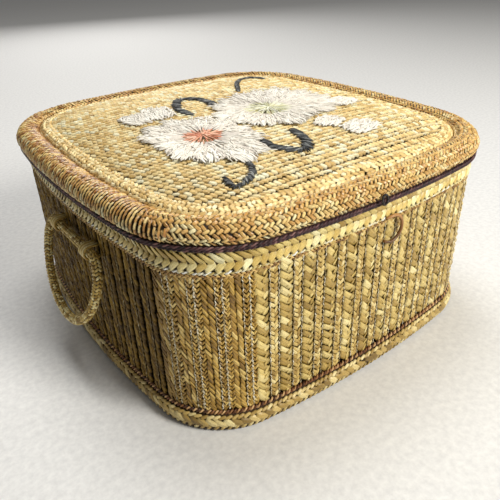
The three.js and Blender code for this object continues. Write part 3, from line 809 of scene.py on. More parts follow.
def add_wall():
    # Ribs cover the left end and bands the front left corner. Plaits go round the rest.
    rib_start, band_start, band_end = BODY.arc_starts[5] + 20, BODY.length - 150, BODY.length - 90
    plaits = repeats(band_end, BODY.length + rib_start, REPEAT)
    ribs = repeats(rib_start, band_start, RIB_REPEAT)
    bands = repeats(band_start, band_end, BAND_REPEAT)

    weave = Weave(11)
    for start in plaits:
        lay_column(
            weave, FACET, start + 4.3, 5.3, -44, 0.13, 12.2, 4.9, 1.6, lift=-0.35, bend=0.7, tip=-0.35,
            tilt=0.75, rough=0.4, shear=0.7, tint=0.52,
        )
        lay_column(
            weave, CHIP, start + 6.9, 5.3, 38, 0.2, 5.6, 3.0, 1.5, lift=-0.15, bend=0.6, tip=-0.5, tilt=0.4,
            rough=0.4, shear=0.5, tint=0.5,
        )
    weave.build("wall_wide_plaits", WIDE_STRAW, "basket", "straw", "straw_wall")
    for part, columns in zip("ab", np.array_split(plaits, 2)):
        weave = Weave(12 + ord(part))
        for start in columns:
            lay_braid(weave, start + 12.3, 1.25, 3.3, 40, 4.2, 2.5, 1.5, 0.52)
        weave.build(f"wall_narrow_plaits_{part}", NARROW_STRAW, "basket", "straw", "straw_wall")
    weave = Weave(16)
    for start in ribs:
        for centre, pitch, lean, length, width, height, lift, bend, tint in (
            (3.5, 3.0, -66, 8.4, 2.5, 2.1, -0.15, 0.9, 0.45),
            (6.0, 3.4, -70, 6.4, 1.7, 1.7, -0.5, 0.6, 0.4),
            (10.9, 3.0, -64, 7.6, 2.5, 2.0, -0.2, 0.9, 0.4),
        ):
            lay_column(
                weave, CHIP, start + centre, pitch, lean, 0.1, length, width, height, lift=lift,
                bend=bend, rough=0.3, shear=0.6, tint=tint,
            )
    weave.build("wall_ribs", SHADED_RIB_STRAW, "basket", "straw", "straw_wall")
    weave = Weave(17)
    for start in bands:
        for centre in (2.5, 6.1):
            lay_column(
                weave, CHIP, start + centre, 3.9, -58, 0.14, 7.0, 2.8, 2.0, lift=-0.45, bend=0.7, tip=-0.2,
                tilt=0.35, rough=0.3, shear=0.7, tint=0.45,
            )
        for centre in (10.2, 14.1):
            lay_braid(weave, start + centre, 0.9, 3.1, 50, 3.8, 1.6, 1.8, 0.5)
    weave.build("wall_corner_bands", STRAW, "basket", "straw", "straw_wall")
    weave = Weave(15)
    for start in plaits:
        for centre in (9.35, 15.3):
            lay_thread(weave, start + centre, 2.3, 0.62, 0.5)
    for start in bands:
        for centre in (8.4, 12.1, 12.5):
            lay_thread(weave, start + centre, 2.0, 0.6, 0.62)
    # The threads on the ribs are given a dark tint: painted shade, like the ribs.
    for start in ribs:
        lay_thread(weave, start + 7.9, 2.6, 0.6, 0.15)
    weave.build("wall_threads", THREAD_GREY, "basket", "thread", "straw_wall")


# ---- Rim ----

# Shares of a cord's radius. The two plies press a little into each other.
PLY_OFFSET = 0.46
PLY_RADIUS = 0.56


def twisted(weave, outline, out, z, radius, pitch, tint_middle, tint_spread, patches, steps_a_turn=8):
    """A cord laid round the outline, its two plies wound round each other."""
    turns = round(outline.length / pitch)
    steps = turns * steps_a_turn
    s = all_round(outline.length, steps)
    *_, nx, ny = outline.at(s)
    first = np.stack([nx, ny, 0 * nx], -1)
    second = np.tile([0.0, 0.0, 1.0], (steps, 1))
    for ply in range(2):
        turn = 2 * math.pi * (turns * np.arange(steps) / steps + ply / 2)
        around = np.cos(turn)[:, None] * first + np.sin(turn)[:, None] * second
        centre = outline.out_at(s, out, z) + PLY_OFFSET * radius * around
        patch = np.linspace(0, patches - 1, steps)
        worn = np.interp(patch, np.arange(patches), weave.jitter(patches, 1))
        tint = np.clip(tint_middle + tint_spread * (ply - 0.5) + 0.5 * worn, 0, 1)
        # Each ply is painted darker where it turns in under the other and lighter where it comes out: painted
        # shade and light.
        weave.tube((centre, first, second), tint, PLY_RADIUS * radius, depth=0.62 + 0.38 * np.cos(turn))


def add_rim():
    weave = Weave(21)
    twisted(weave, BODY, 0.05, 112.2, 1.15, 5.6, 0.62, 0.35, 260, steps_a_turn=9)
    weave.build("rim_pale_cord", PALE_CORD, "basket", "pale_cord", "rim_cord")

    weave = Weave(22)
    s = np.arange(0, BODY.length - 1, 2.7)
    for z, slant in ((109.3, 28), (110.5, -28)):
        weave.stitch(
            wall, SEED, (s + (1.35 if slant < 0 else 0), 0.15), z, (math.radians(slant), 0.12), 3.3, 1.5,
            1.2, lift=0.2, bend=0.3, tint=(0.45, 0.5),
        )
    weave.build("rim_brown_braid", BROWN_BRAID, "basket", "brown_cord", "rim_braid")

    weave = Weave(23)
    s = np.arange(0, BODY.length - 2, 4.8)
    weave.stitch(
        wall, FACET, (s, 0.25), (121.2, 0.2), (math.radians(-38), 0.08), 9.4, (3.9, 0.3), 1.5, lift=0.6,
        bend=0.5, tip=(0.1, 0.25), tilt=(0.85, 0.25), shear=-0.4, tint=(0.5, 0.45),
    )
    weave.stitch(
        wall, FACET, (s + 1.7, 0.25), (116.3, 0.2), (math.radians(40), 0.1), 6.8, 3.8, 1.5, lift=0.6,
        bend=0.45, tip=(-0.2, 0.3), tilt=(-0.85, 0.25), shear=0.3, tint=(0.6, 0.4),
    )
    # The top row is painted darker: painted shade under the lid's piping.
    weave.stitch(
        wall, CHIP, (s + 2.2, 0.2), 124.2, math.radians(24), 4.6, 1.9, 1.2, lift=0.35, bend=0.3,
        tint=(0.3, 0.3),
    )
    weave.build("rim_chevron_plait", RIM_STRAW, "basket", "straw", "rim_band")
    section = [(-2.6, 113.7), (0.1, 113.7), (0.1, 124.9), (-2.6, 124.9)]
    shell("rim_ground", hoop(BODY, section), SHADED_GROUND, "basket", "straw", "rim_band")


# ---- Foot ----


def add_foot():
    weave = Weave(31)
    twisted(weave, BODY, 0.1, 13.6, 1.55, 4.4, 0.5, 0.85, 160)
    weave.build("foot_rust_cord", RUST_CORD, "basket", "brown_cord", "foot_cord")

    band = Band(BODY, [(0.6, 11.6), (2.4, 11.2), (3.4, 9.0), (3.7, 6.0), (3.5, 3.0), (2.4, 0.7)][::-1])
    top = band.length
    weave = Weave(32)
    s = np.arange(0, BODY.length - 2, 3.65)
    weave.stitch(
        band, CHIP, (s, 0.4), top - 1.9, (math.radians(24), 0.15), 5.4, 2.4, 1.3, lift=-0.25, bend=0.35,
        tip=(0, 0.3), tilt=(0, 0.3), tint=(0.6, 0.4),
    )
    s = np.arange(0, BODY.length - 4, 5.0)
    weave.stitch(
        band, FACET, (s, 0.4), top * 0.5, (math.radians(-30), 0.12), 9.6, (4.6, 0.3), 1.8, lift=-0.35,
        bend=0.7, tip=(-0.15, 0.2), tilt=(0, 0.35), tint=(0.5, 0.5),
    )
    s = np.arange(0, BODY.length - 2, 4.0)
    weave.stitch(
        band, CHIP, (s, 0.2), 2.4, (math.radians(66), 0.12), 5.4, 2.2, 1.3, lift=-0.25, bend=0.5,
        tilt=(0, 0.25), tint=(0.6, 0.4),
    )
    weave.build("foot_plait", FOOT_STRAW, "basket", "straw", "foot_band")
    section = [(-2.4, 0.25), (1.6, 0.25), (2.5, 3.0), (2.6, 6.0), (2.3, 9.0), (-0.4, 11.3), (-2.4, 11.3)]
    shell("foot_ground", hoop(BODY, section), SHADED_GROUND, "basket", "straw", "foot_band")


# ---- Lid: roll, piping and loop ----


def add_roll():
    band = Band(LID, ROLL_SECTION)
    width = band.length
    left_start, left_end = LID.arc_starts[5] + 40, LID.arc_starts[7] + 22

    def wander(v):
        """How far the border between the two patterns strays at v."""
        return 8.0 * np.sin(0.3 * v) + 3.5 * np.sin(0.75 * v + 1.0)

    weave = Weave(41)
    pitch = 2.8
    strands = np.arange(left_start - 14, left_end + 14, pitch)
    strands = strands + weave.jitter(len(strands), 0.22)
    for k in range(6):
        v = 1.6 + 3.9 * k + np.where(np.arange(len(strands)) % 2, 1.3, 0.0) + weave.jitter(len(strands), 0.5)
        inside = (strands > left_start + wander(v)) & (strands < left_end + wander(v)) & (v < width - 6.5)
        at, v = strands[inside], v[inside]
        weave.stitch(
            band, FACET, at, v, (math.radians(86), 0.05), (5.4, 0.5), (1.42, 0.12), 2.1, lift=(-0.25, 0.15),
            bend=0.6, tip=(0.25, 0.15), tilt=(0, 0.15), tint=(0.6 - 0.06 * k, 0.4),
        )
    rows, pitch = 12, 3.1
    s = np.arange(left_end - 18, LID.length + left_start + 18, pitch)
    for k in range(rows):
        v = 1.4 + (width - 2.8) * k / (rows - 1)
        lean = 40 if k % 2 else -46
        inside = (s > left_end + wander(v) - 6) & (s < LID.length + left_start + wander(v) + 6)
        at = s[inside]
        weave.stitch(
            band, CHIP, (at + pitch * (0.5 * (k % 2) + 0.17 * k), 0.35), (v, 0.3),
            (math.radians(lean), 0.22), (4.0, 0.3), (2.25, 0.2), 1.9, lift=(-0.6, 0.15), bend=0.55,
            tip=(0.3, 0.3), tilt=(0.35, 0.3), tint=(0.62 - 0.012 * k, 0.3),
        )
    weave.build("lid_roll_stitches", ROLL_STRAW, "lid", "roll_straw", "lid_border_roll")
    weave = Weave(42)
    s = np.arange(left_start, left_end, 1.1)
    for v in (width - 8.2, width - 5.0, width - 2.2):
        at = s[(s > left_start + wander(v)) & (s < left_end + wander(v))]
        weave.stitch(
            band, BLADE, (at, 0.35), (v, 0.9), (math.radians(78), 0.12), (5.6, 0.8), 1.3, 1.1,
            lift=(-0.55, 0.2), bend=0.35, tint=(0.42, 0.42),
        )
    weave.build("lid_roll_fibres", ROLL_FIBRE, "lid", "roll_straw", "lid_border_roll")
    inner = np.array(ROLL_MIDDLE) + (np.array(ROLL_SECTION) - ROLL_MIDDLE) * ROLL_CORE
    inner[0, 1] = inner[-1, 1] = ROLL_CORE_LOW
    shell("lid_roll_ground", hoop(LID, inner), SHADED_PANEL_GROUND, "lid", "roll_straw", "lid_border_roll")


def add_piping():
    steps, sides = 1500, 18
    s = all_round(LID.length, steps)
    turn = all_round(2 * math.pi, sides)
    rng = np.random.default_rng(51)
    slant = s[:, None] + 1.6 * turn[None, :]
    pucker = 0.12 * np.sin(slant * 2 * math.pi * 400 / LID.length) * np.maximum(np.cos(turn), 0)[None, :]
    lumps = np.interp(s, np.linspace(0, LID.length, 180), rng.uniform(-0.1, 0.1, 180))[:, None]
    radius = PIPING_R + lumps + pucker
    out = PIPING_OUT + radius * np.cos(turn)[None, :]
    z = PIPING_Z + radius * np.sin(turn)[None, :]
    points = LID.out_at(s[:, None], out, z)
    shell("lid_piping_cloth", points, PIPING_CLOTH, "lid", "maroon_cloth", "lid_piping")
    weave = Weave(52)
    for out, z, radius, tint in ((5.35, 128.0, 0.95, 0.55), (5.45, 126.4, 0.85, 0.35)):
        twisted(weave, LID, out, z, radius, 5.2, tint, 0.3, 200)
    weave.build("lid_piping_cords", PIPING_THREAD, "lid", "maroon_cloth", "lid_piping")


def ring_paths(points, across):
    """Centre, side and across vectors of a curve that lies in one plane."""
    tangent = np.gradient(points, axis=0)
    tangent /= np.linalg.norm(tangent, axis=1)[:, None]
    across = np.tile(np.array(across, float), (len(points), 1))
    return points, np.cross(tangent, across), across


def add_loop():
    steps = 80
    turn = all_round(2 * math.pi, steps)
    spin = np.array([[math.cos(LOOP_TILT), math.sin(LOOP_TILT)], [-math.sin(LOOP_TILT), math.cos(LOOP_TILT)]])
    weave = Weave(53)
    for k in range(2):
        twist = turn * 7 + math.pi * k
        out = 0.34 * np.cos(twist)
        flat = spin @ np.stack([(2.2 + out) * np.cos(turn), (3.1 + out) * np.sin(turn)])
        centre = np.stack([flat[0], 0.34 * np.sin(twist), flat[1]], -1) + LOOP_CENTRE
        radial = spin @ np.stack([np.cos(turn), np.sin(turn)])
        first = np.stack([radial[0], 0 * turn, radial[1]], -1)
        second = np.tile([0.0, 1.0, 0.0], (steps, 1))
        weave.tube((centre, first, second), 0.3 + 0.35 * k, 0.52)
    weave.build("lid_thread_loop", DARK_THREAD, "lid", "thread", "lid_loop")


# ---- Lid: woven panel ----


def puckers(x, y):
    """Soft ridges of the woven cloth, strongest near the front and right edges."""
    edge = np.clip((DOME.reach(x, y) - 0.42) * 1.7, 0, 1) * np.clip((x - y + 30) / 110, 0.25, 1)
    return 0.8 * edge * np.cos(2 * math.pi * (y + 0.02 * x + 1.5 * np.sin(x / 31)) / 9.4)


def panel(u, v, h):
    """The puckered face of the lid's top, u and v being x and y."""
    return DOME(u, v, h + puckers(u, v))


def add_panel():
    half, row_pitch, step = 128, 4.9, 3.25
    parts = {"front": [], "middle": [], "rear": []}
    for i, y in enumerate(np.arange(-half, half, row_pitch)):
        x = np.arange(-half, half, step) + (i % 2) * step / 2
        x = x[DOME.reach(x, y) < 1 - 6.0 / np.hypot(x, y)]
        if len(x):
            parts["front" if y < -40 else "middle" if y < 40 else "rear"].append((x, y))
    for part, found in parts.items():
        weave = Weave(60 + len(part))
        for x, y in found:
            lean = math.radians(-56) - 0.15 * (1 - np.clip((x + half) / 90, 0, 1))
            weave.stitch(
                panel, CHIP, (x, 0.25), (y, 0.35), (lean, 0.14), (5.0, 0.5), (2.5, 0.25), 2.1,
                lift=(-0.35, 0.15), bend=0.75, tip=(0.25, 0.25), tilt=(0.3, 0.25), tint=(0.5, 0.45),
            )
        weave.build(f"lid_panel_weave_{part}", PANEL_STRAW, "lid", "panel_straw", "lid_panel")

    section = Band(
        LID, [(-10.4, 135.2), (-10.8, 137.0), (-11.6, 138.4), (-13.4, 139.8), (-16.4, 140.6), (-19.5, 141.0)]
    )
    weave = Weave(71)
    s = np.arange(0, LID.length - 2, 4.0)
    for v, lean, long in ((1.0, -26, 4.6), (3.3, 24, 5.0), (5.8, -30, 5.2), (8.2, 24, 4.8), (10.4, -30, 4.6)):
        weave.stitch(
            section, CHIP, (s, 0.5), (v, 0.3), (math.radians(lean), 0.25), (long, 0.6), (2.8, 0.3), 1.8,
            lift=(-0.15, 0.25), bend=0.6, tip=(0, 0.25), tint=(0.4, 0.42),
        )
    weave.build("lid_panel_edge", PANEL_STRAW, "lid", "panel_straw", "lid_panel")

    reaches = np.array([0.001, 0.2, 0.4, 0.55, 0.68, 0.78, 0.86, 0.92, 0.96, 0.99, 1.0])
    dome = PANEL_EDGE_Z + PANEL_RISE * (1 - reaches**5) ** 0.8
    edge = LID.out_at(all_round(LID.length, 360)[:, None], PANEL_EDGE - 0.4, 0)
    x, y = edge[..., 0] * np.append(reaches, reaches[::-1]), edge[..., 1] * np.append(reaches, reaches[::-1])
    points = np.stack(np.broadcast_arrays(x, y, np.append(dome - 1.15, dome[::-1] - 2.1)), -1)
    shell("lid_panel_ground", points, SHADED_WEAVE_GROUND, "lid", "panel_straw", "lid_panel")


# ---- Embroidery ----

PINK_FLOWER = (-50, -31, 12, [
    (-11, 36, 22), (-45, 42, 24), (-74, 54, 22), (-92, 59, 21), (-116, 49, 24), (-141, 44, 25), (180, 35, 24),
    (140, 43, 25), (116, 50, 22), (90, 47, 22), (59, 46, 24), (31, 42, 22),
])
GREEN_FLOWER = (23, -9, 13, [
    (166, 45, 24), (132, 45, 25), (106, 48, 22), (82, 53, 24), (61, 60, 24), (42, 66, 25), (20, 66, 26),
    (0, 62, 24), (-18, 64, 24), (-42, 52, 26), (-72, 40, 25), (-100, 47, 24), (-133, 45, 26), (-160, 44, 25),
])
BUDS = {
    "left_bud": [(-64, 35, 17, 13, 100), (-45, 39, 21, 12, 80)],
    "right_bud": [(82, -30, 16, 11, 20)],
    "front_bud": [(36, -61, 15, 10, 20)],
    "low_bud": [(45, -82, 18, 11, 10)],
}
STEMS = {
    "stem_arch": (8, [(-29, 18), (-27, 41), (-12, 62), (1, 48), (-3, 20)]),
    "stem_hook": (4.5, [(38, 50), (56, 77), (72, 91), (85, 88), (88, 77)]),
    "stem_bow": (8, [(-24, -61), (-26, -77), (-15, -91), (-3, -80), (5, -57)]),
    "stem_curl": (5, [(-53, -85), (-59, -97), (-68, -104), (-78, -105), (-76, -93)]),
}


def sew_petal(weave, x, y, degrees, start, length, width, lift):
    """A petal of fine strands in three rounds, from its narrow foot to its tip, and loose ones across."""
    turn = math.radians(degrees)
    width = width * 1.12
    for near, far, density in ((0.0, 0.55, 0.7), (0.2, 0.8, 0.95), (0.45, 0.97, 1.3), (0.25, 1.0, 1.6)):
        count = int(density * width)
        side = np.linspace(-1, 1, count) + weave.jitter(count, 0.1)
        reach = length * (1 - 0.3 * np.abs(side) ** 2.4)
        inner = start + near * (reach - start) + weave.jitter(count, 2.2)
        outer = start + far * (reach - start) + weave.jitter(count, 1.2)
        ends = [
            side * 0.5 * width * np.clip(0.22 + 1.05 * part, 0, 1) * np.sqrt(np.clip(1.9 - part, 0.5, 1))
            for part in (inner / length, outer / length)
        ]
        fluff = density > 1.5
        share = weave.rng.uniform(0, 1, count) if fluff else 0.5
        along, across = inner + (outer - inner) * share, ends[0] + (ends[1] - ends[0]) * share
        # The strands are painted darker towards the petal's edges, as painted shade between petals, and are
        # darker in the first round by its foot.
        weave.stitch(
            panel, BLADE, x + along * math.cos(turn) - across * math.sin(turn),
            y + along * math.sin(turn) + across * math.cos(turn),
            (turn + np.arctan2(ends[1] - ends[0], outer - inner), 0.8 if fluff else 0.1),
            np.hypot(outer - inner, ends[1] - ends[0]) * (0.26 if fluff else 1.0),
            (1.1 if fluff else 1.8, 0.4), 0.65,
            lift=(lift + (0.5 if fluff else 0.0) + 0.5 * (1 - side**2), 0.25), bend=0.35,
            bow=(0, 0.9), tint=(0.7 - 0.45 * np.abs(side) ** 3 - 0.2 * (near == 0), 0.34),
        )


def sew_flower(name, flower, seed, node):
    x, y, start, petals = flower
    weave = Weave(seed)
    for k, (degrees, length, width) in enumerate(petals):
        sew_petal(weave, x, y, degrees, start, length, width, 1.0 + 0.4 * (k % 2))
    weave.build(name, PALE_RAFFIA, "lid", "pale_raffia", node)


def sew_centre(name, flower, rx, ry, width, material, slot, seed, node, spokes):
    """A sunburst of loose strands over bare weave, with a dense middle."""
    x, y = flower[:2]
    weave = Weave(seed)
    for near, far, lift, step in ((0.4, 1.0, 1.7, 1), (0.05, 0.72, 2.1, 1), (0.0, 0.4, 2.6, 2)):
        count = spokes // step
        turn = all_round(2 * math.pi, count) + weave.jitter(count, 2.4 / count)
        inner, outer = near + weave.jitter(count, 0.06), far + weave.jitter(count, 0.16)
        middle = (inner + outer) / 2
        weave.stitch(
            panel, BLADE, x + rx * middle * np.cos(turn), y + ry * middle * np.sin(turn),
            (np.arctan2(ry * np.sin(turn), rx * np.cos(turn)), 0.12),
            (outer - inner) * np.hypot(rx * np.cos(turn), ry * np.sin(turn)), (width, 0.2 * width), 0.9,
            lift=(lift, 0.2), bend=0.45, bow=(0, 0.5), tint=(0.5, 0.5),
        )
    weave.build(name, material, "lid", slot, node)


def smooth_line(points, count):
    """A Catmull-Rom line through points."""
    p = np.array(points, float)
    p = np.concatenate([[2 * p[0] - p[1]], p, [2 * p[-1] - p[-2]]])
    out = []
    spans = len(p) - 3
    for t in np.linspace(0, spans, count):
        i = min(int(t), spans - 1)
        f = t - i
        a, b, c, d = p[i: i + 4]
        square, cube = 2 * a - 5 * b + 4 * c - d, 3 * b - a - 3 * c + d
        out.append(0.5 * (2 * b + (c - a) * f + square * f**2 + cube * f**3))
    return np.array(out)


def add_embroidery():
    sew_flower("pink_flower_strands", PINK_FLOWER, 81, "pink_flower_petals")
    sew_flower("green_flower_strands", GREEN_FLOWER, 82, "green_flower_petals")
    sew_centre(
        "pink_flower_knots", PINK_FLOWER, 16, 16.5, 1.2, PINK_RAFFIA, "pink_raffia", 83,
        "pink_flower_centre", 26,
    )
    sew_centre(
        "green_flower_knots", GREEN_FLOWER, 21, 20.5, 1.0, GREEN_RAFFIA, "green_raffia", 84,
        "green_flower_centre", 38,
    )
    for k, (name, shapes) in enumerate(BUDS.items()):
        weave = Weave(85 + k)
        for x, y, half_length, half_width, degrees in shapes:
            strands = 150
            turn = math.radians(degrees)
            across = weave.jitter(strands, 1)
            long = half_length * (0.55 + weave.jitter(strands, 0.25)) * (1.1 - 0.4 * across**2)
            room = np.maximum(half_length * (1 - 0.3 * across**2) - long / 2, 0)
            slide = weave.jitter(strands, 1) * room
            cx = x + slide * math.cos(turn) - across * half_width * 0.88 * math.sin(turn)
            cy = y + slide * math.sin(turn) + across * half_width * 0.88 * math.cos(turn)
            weave.stitch(
                panel, BLADE, cx, cy, (turn - across * slide / half_length * 0.5, 0.55), long,
                (1.3, 0.3), 0.7, lift=(1.45, 0.45), bend=0.4, bow=(0, 0.8), tint=(0.72, 0.36),
            )
        weave.build(f"{name}_strands", PALE_RAFFIA, "lid", "pale_raffia", name)
    for k, (name, (width, points)) in enumerate(STEMS.items()):
        weave = Weave(95 + k)
        line = smooth_line(points, 400)
        s = arc_length(line)
        spots = np.arange(0.8, s[-1] - 0.8, 0.9)
        x, y = interpolate(spots, s, line).T
        ahead = interpolate(spots + 0.5, s, line).T
        wide = width * (0.5 + 0.5 * np.clip(np.minimum(spots, s[-1] - spots) / 9, 0, 1) ** 0.6)
        slant = np.arctan2(ahead[1] - y, ahead[0] - x) + math.radians(50)
        weave.stitch(
            panel, GRAIN, (x, 0.3), (y, 0.3), (slant, 0.3), (wide * 1.25, 0.2 * wide), 1.35, 1.0,
            lift=(1.2, 0.35), bend=0.6, tip=(0, 0.25), tint=(0.42, 0.58),
        )
        weave.build(f"{name}_strands", DARK_RAFFIA, "lid", "dark_raffia", name)


# ---- Carrying rings ----


def handle_curve():
    """The ring's centreline in its own plane, as (y, z): an ellipse cut straight across near its top."""
    cut = math.asin(HANDLE_CENTRE_DROP / HANDLE_HALF_HEIGHT)
    bar_half = HANDLE_HALF_WIDTH * math.cos(cut) - 5
    points = [(bar_half * part, 0.0) for part in (-1, -0.9, -0.45, 0, 0.45, 0.9, 1)]
    steps = 14
    for i in range(1, steps):
        angle = cut - (math.pi + 2 * cut) * i / steps
        height = HANDLE_HALF_HEIGHT * math.sin(angle) - HANDLE_CENTRE_DROP
        points.append((HANDLE_HALF_WIDTH * math.cos(angle), height))
    out = []
    for i in range(len(points)):
        near = [np.array(points[(i + k) % len(points)]) for k in (-1, 0, 1, 2)]
        gaps = [max(np.linalg.norm(b - a), 1e-3) ** 0.5 for a, b in zip(near, near[1:])]
        at = np.concatenate([[0.0], np.cumsum(gaps)])
        for t in np.linspace(at[1], at[2], 10, endpoint=False):
            line = near
            for spans in (((0, 1), (1, 2), (2, 3)), ((0, 2), (1, 3)), ((1, 2),)):
                parts = [(t - at[m]) / (at[n] - at[m]) for m, n in spans]
                line = [a + (b - a) * part for a, b, part in zip(line, line[1:], parts)]
            out.append(line[0])
    return np.array(out)


def add_handle(side):
    name = "left" if side < 0 else "right"
    flat = handle_curve()
    # In the ring's own plane x is 0. It then swings outward about the bar, along y.
    swing = HANDLE_REST * side
    x = -flat[:, 1] * math.sin(swing)
    z = flat[:, 1] * math.cos(swing)
    origin = np.array([side * (HALF_WIDTH + HANDLE_OUT), HANDLE_Y, HANDLE_Z])
    points = np.stack([x, flat[:, 0], z], -1) + origin
    across = (math.cos(swing), 0.0, math.sin(swing))
    tube = Tube(points, across, HANDLE_R - 0.75)
    weave = Weave(101 + side)
    rows = round(tube.length / 2.2)
    u = all_round(tube.length, rows)
    lanes = 8
    girth = 2 * math.pi * tube.radius
    for lane in range(lanes):
        lean = 42 if lane % 2 else -42
        weave.stitch(
            tube, GRAIN, (u, 0.15), (girth * (lane + 0.5) / lanes, 0.1), (math.radians(lean), 0.1), 3.3,
            1.6, 1.5, lift=(0.1, 0.1), bend=0.3, tip=(0, 0.15), tint=(0.5, 0.5),
        )
    # A core in the darkest tint and depth under the plait: painted shade that shows between its stitches.
    steps = all_round(tube.length, 160)
    centre, beside = (interpolate(steps, tube.s, line) for line in (tube.curve, tube.side))
    weave.tube((centre, beside, np.tile(across, (160, 1))), 0.0, HANDLE_R - 0.9, sides=8, depth=0.0)
    weave.build(f"ring_plait_{name}", HANDLE_STRAW, f"{name}_ring", "straw", f"handle_{name}")

    turn = np.linspace(-math.pi / 2, math.pi / 2, 15)
    reach, leg = HANDLE_R + 1.05, HANDLE_OUT + 1.2
    xs = np.concatenate([[-leg, -leg * 0.5], reach * np.cos(turn), [-leg * 0.5, -leg]])
    zs = np.concatenate([[-reach, -reach], reach * np.sin(turn), [reach, reach]])
    for end, shift in (("front", -LASHING_Y), ("rear", LASHING_Y)):
        weave = Weave(110 + side + (2 if end == "rear" else 0))
        for k in range(LASHING_TURNS):
            y = HANDLE_Y + shift + (k - (LASHING_TURNS - 1) / 2) * LASHING_PITCH
            ys = y + 0.45 * math.sin(k * 2.1) * np.linspace(-1, 1, len(xs))
            line = np.stack([origin[0] + side * xs, ys, origin[2] + zs], -1)
            tint = 0.35 + 0.5 * (k % 2) + weave.jitter(1, 0.12)[0]
            weave.tube(ring_paths(line, (0.0, 1.0, 0.0)), tint, 0.66, closed=False, sides=8)
        node = f"handle_{name}_{end}_lashing"
        weave.build(f"lashing_{name}_{end}", HANDLE_STRAW, "basket", "straw", node)


def add_front_ring():
    steps = 60
    turn = np.linspace(RING_OPEN + 0.06, -RING_OPEN - 0.06, steps)
    set_back = 1.2 * np.clip((np.abs(turn) - 1.7) / 0.4, 0, 1)
    points = RING_CENTRE + np.stack([RING_RADIUS * np.cos(turn), set_back, RING_RADIUS * np.sin(turn)], -1)
    weave = Weave(121)
    rng = np.random.default_rng(121)
    at = np.arange(steps)
    radius = 1.05 + np.interp(at, np.linspace(0, steps, 9), rng.uniform(-0.08, 0.1, 9))
    # The cane is painted lighter towards the ring's top and darker below: painted light from above, with
    # random patches of its own tone.
    tint = 0.5 + 0.42 * np.sin(turn) + np.interp(at, np.linspace(0, steps, 12), rng.uniform(-0.15, 0.15, 12))
    weave.tube(ring_paths(points, (0.0, 1.0, 0.0)), tint, radius, closed=False, sides=10)
    weave.build("cane_ring_stem", CANE, "cane_ring", "cane", "front_ring")


# ---- Linings and pads ----


def quilt(x, y, pitch):
    """Height from 0 at a sewn channel to 1 at the middle of a diamond."""
    p = np.abs(np.sin(math.pi * (x + y) / pitch))
    q = np.abs(np.sin(math.pi * (x - y) / pitch))
    return (p * q) ** 0.45


def padded_disc(name, outline, offset, low, high, puff, body, node, down=False):
    """A quilted pad that fills an outline. Its puffed face is on top, or below where down is set."""
    edge = outline.out_at(all_round(outline.length, 260)[:, None], offset, 0)
    reach = np.concatenate([[0.001], np.linspace(0.02, 0.94, 44), [0.965, 0.985, 0.996, 1.0]])
    x, y = edge[..., 0] * reach, edge[..., 1] * reach
    puffed = (high - low + puff * quilt(x, y, PAD_DIAMOND)) * np.clip((1 - reach) / 0.06, 0, 1) ** 0.5
    soft = np.stack([x, y, high - puffed if down else low + puffed], -1)
    plain = np.stack([x, y, 0 * x + (high if down else low)], -1)
    points = np.concatenate([soft, plain[:, ::-1]], 1)
    shell(name, points, SATIN, body, "satin", node)


def add_linings():
    steps, rows = 640, 60
    s = all_round(BODY.length, steps)[:, None]
    z = np.linspace(LINING_LOW, LINING_HIGH, rows)
    pitch = BODY.length / round(BODY.length / 30)
    rim = np.clip(np.minimum(z - LINING_LOW, LINING_HIGH - z) / 3.0, 0, 1) ** 0.5
    inner = -6.95 - 1.15 * quilt(s, z, pitch) * rim
    out = np.concatenate([inner, np.full((steps, rows), -6.35)], 1)
    points = BODY.out_at(s, out, np.append(z, z[::-1]))
    shell("wall_quilted_lining", points, SATIN, "basket", "satin", "wall_lining")
    padded_disc("base_quilted_pad", BODY, -8.4, 4.4, 6.2, 1.6, "basket", "base_pad")
    low, high = (corner[2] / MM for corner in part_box("lid_lining"))
    padded_disc("lid_quilted_lining", LID, -2.0, low + 0.65, high, 0.65, "lid", "lid_lining", down=True)
    for tray in ("lower", "upper"):
        node = f"tray_{tray}_lining"
        low, high = (np.array(corner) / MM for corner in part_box(node))
        padded_disc(
            f"tray_{tray}_quilted_lining", BODY, high[0] - HALF_WIDTH, low[2], high[2] - 0.35, 0.5,
            f"{tray}_tray", node,
        )
        for side in ("left", "right"):
            add_tab(f"tray_{tray}_tab_{side}", f"{tray}_tray")


def add_tab(node, body):
    """A ribbon folded over into a loop, its two ends sewn inside the tray's end."""
    low, high = (np.array(corner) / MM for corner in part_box(node))
    middle = (low[0] + high[0]) / 2
    half, top = 0.38, high[2] - 0.6
    turn = np.linspace(0, math.pi, 13)
    up = np.linspace(low[2] + 0.3, top, 12, endpoint=False)
    bulge = 0.05 * np.sin(math.pi * (up - up[0]) / (top - up[0]))
    line = np.concatenate([
        np.column_stack([half + bulge, up]),
        np.column_stack([half * np.cos(turn), top + half * np.sin(turn)]),
        np.column_stack([-half - bulge, up])[::-1],
    ])
    slope = np.gradient(line, axis=0)
    slope /= np.hypot(slope[:, 0], slope[:, 1])[:, None]
    normal = np.column_stack([slope[:, 1], -slope[:, 0]])
    across = np.linspace(low[1], high[1], 15)
    wave = 0.04 * np.sin(across * 1.3)
    sides = []
    for thick in (0.14, -0.14):
        out, z = (line + normal * thick).T[:, :, None]
        sides.append(np.stack(np.broadcast_arrays(middle + out + wave, across, z), -1))
    points = np.concatenate([sides[0], sides[1][:, ::-1]], 1)
    mesh = facing_out(grid_mesh(f"{node}_ribbon", points, closed_u=False), fill_holes=True)
    piece = finished(mesh, SATIN, body, "satin", node)


def add_woodwork():
    """Eased edges on the trays, their dividers and the ledges."""
    for name in list(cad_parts):
        if name.startswith("tray_ledge"):
            eased(name, WOOD, "basket", "tray_wood")
        elif name.startswith("tray_") and ("shell" in name or "divider" in name):
            eased(name, WOOD, "upper_tray" if "upper" in name else "lower_tray", "tray_wood")


# ---- Trays, boards and hinges ----


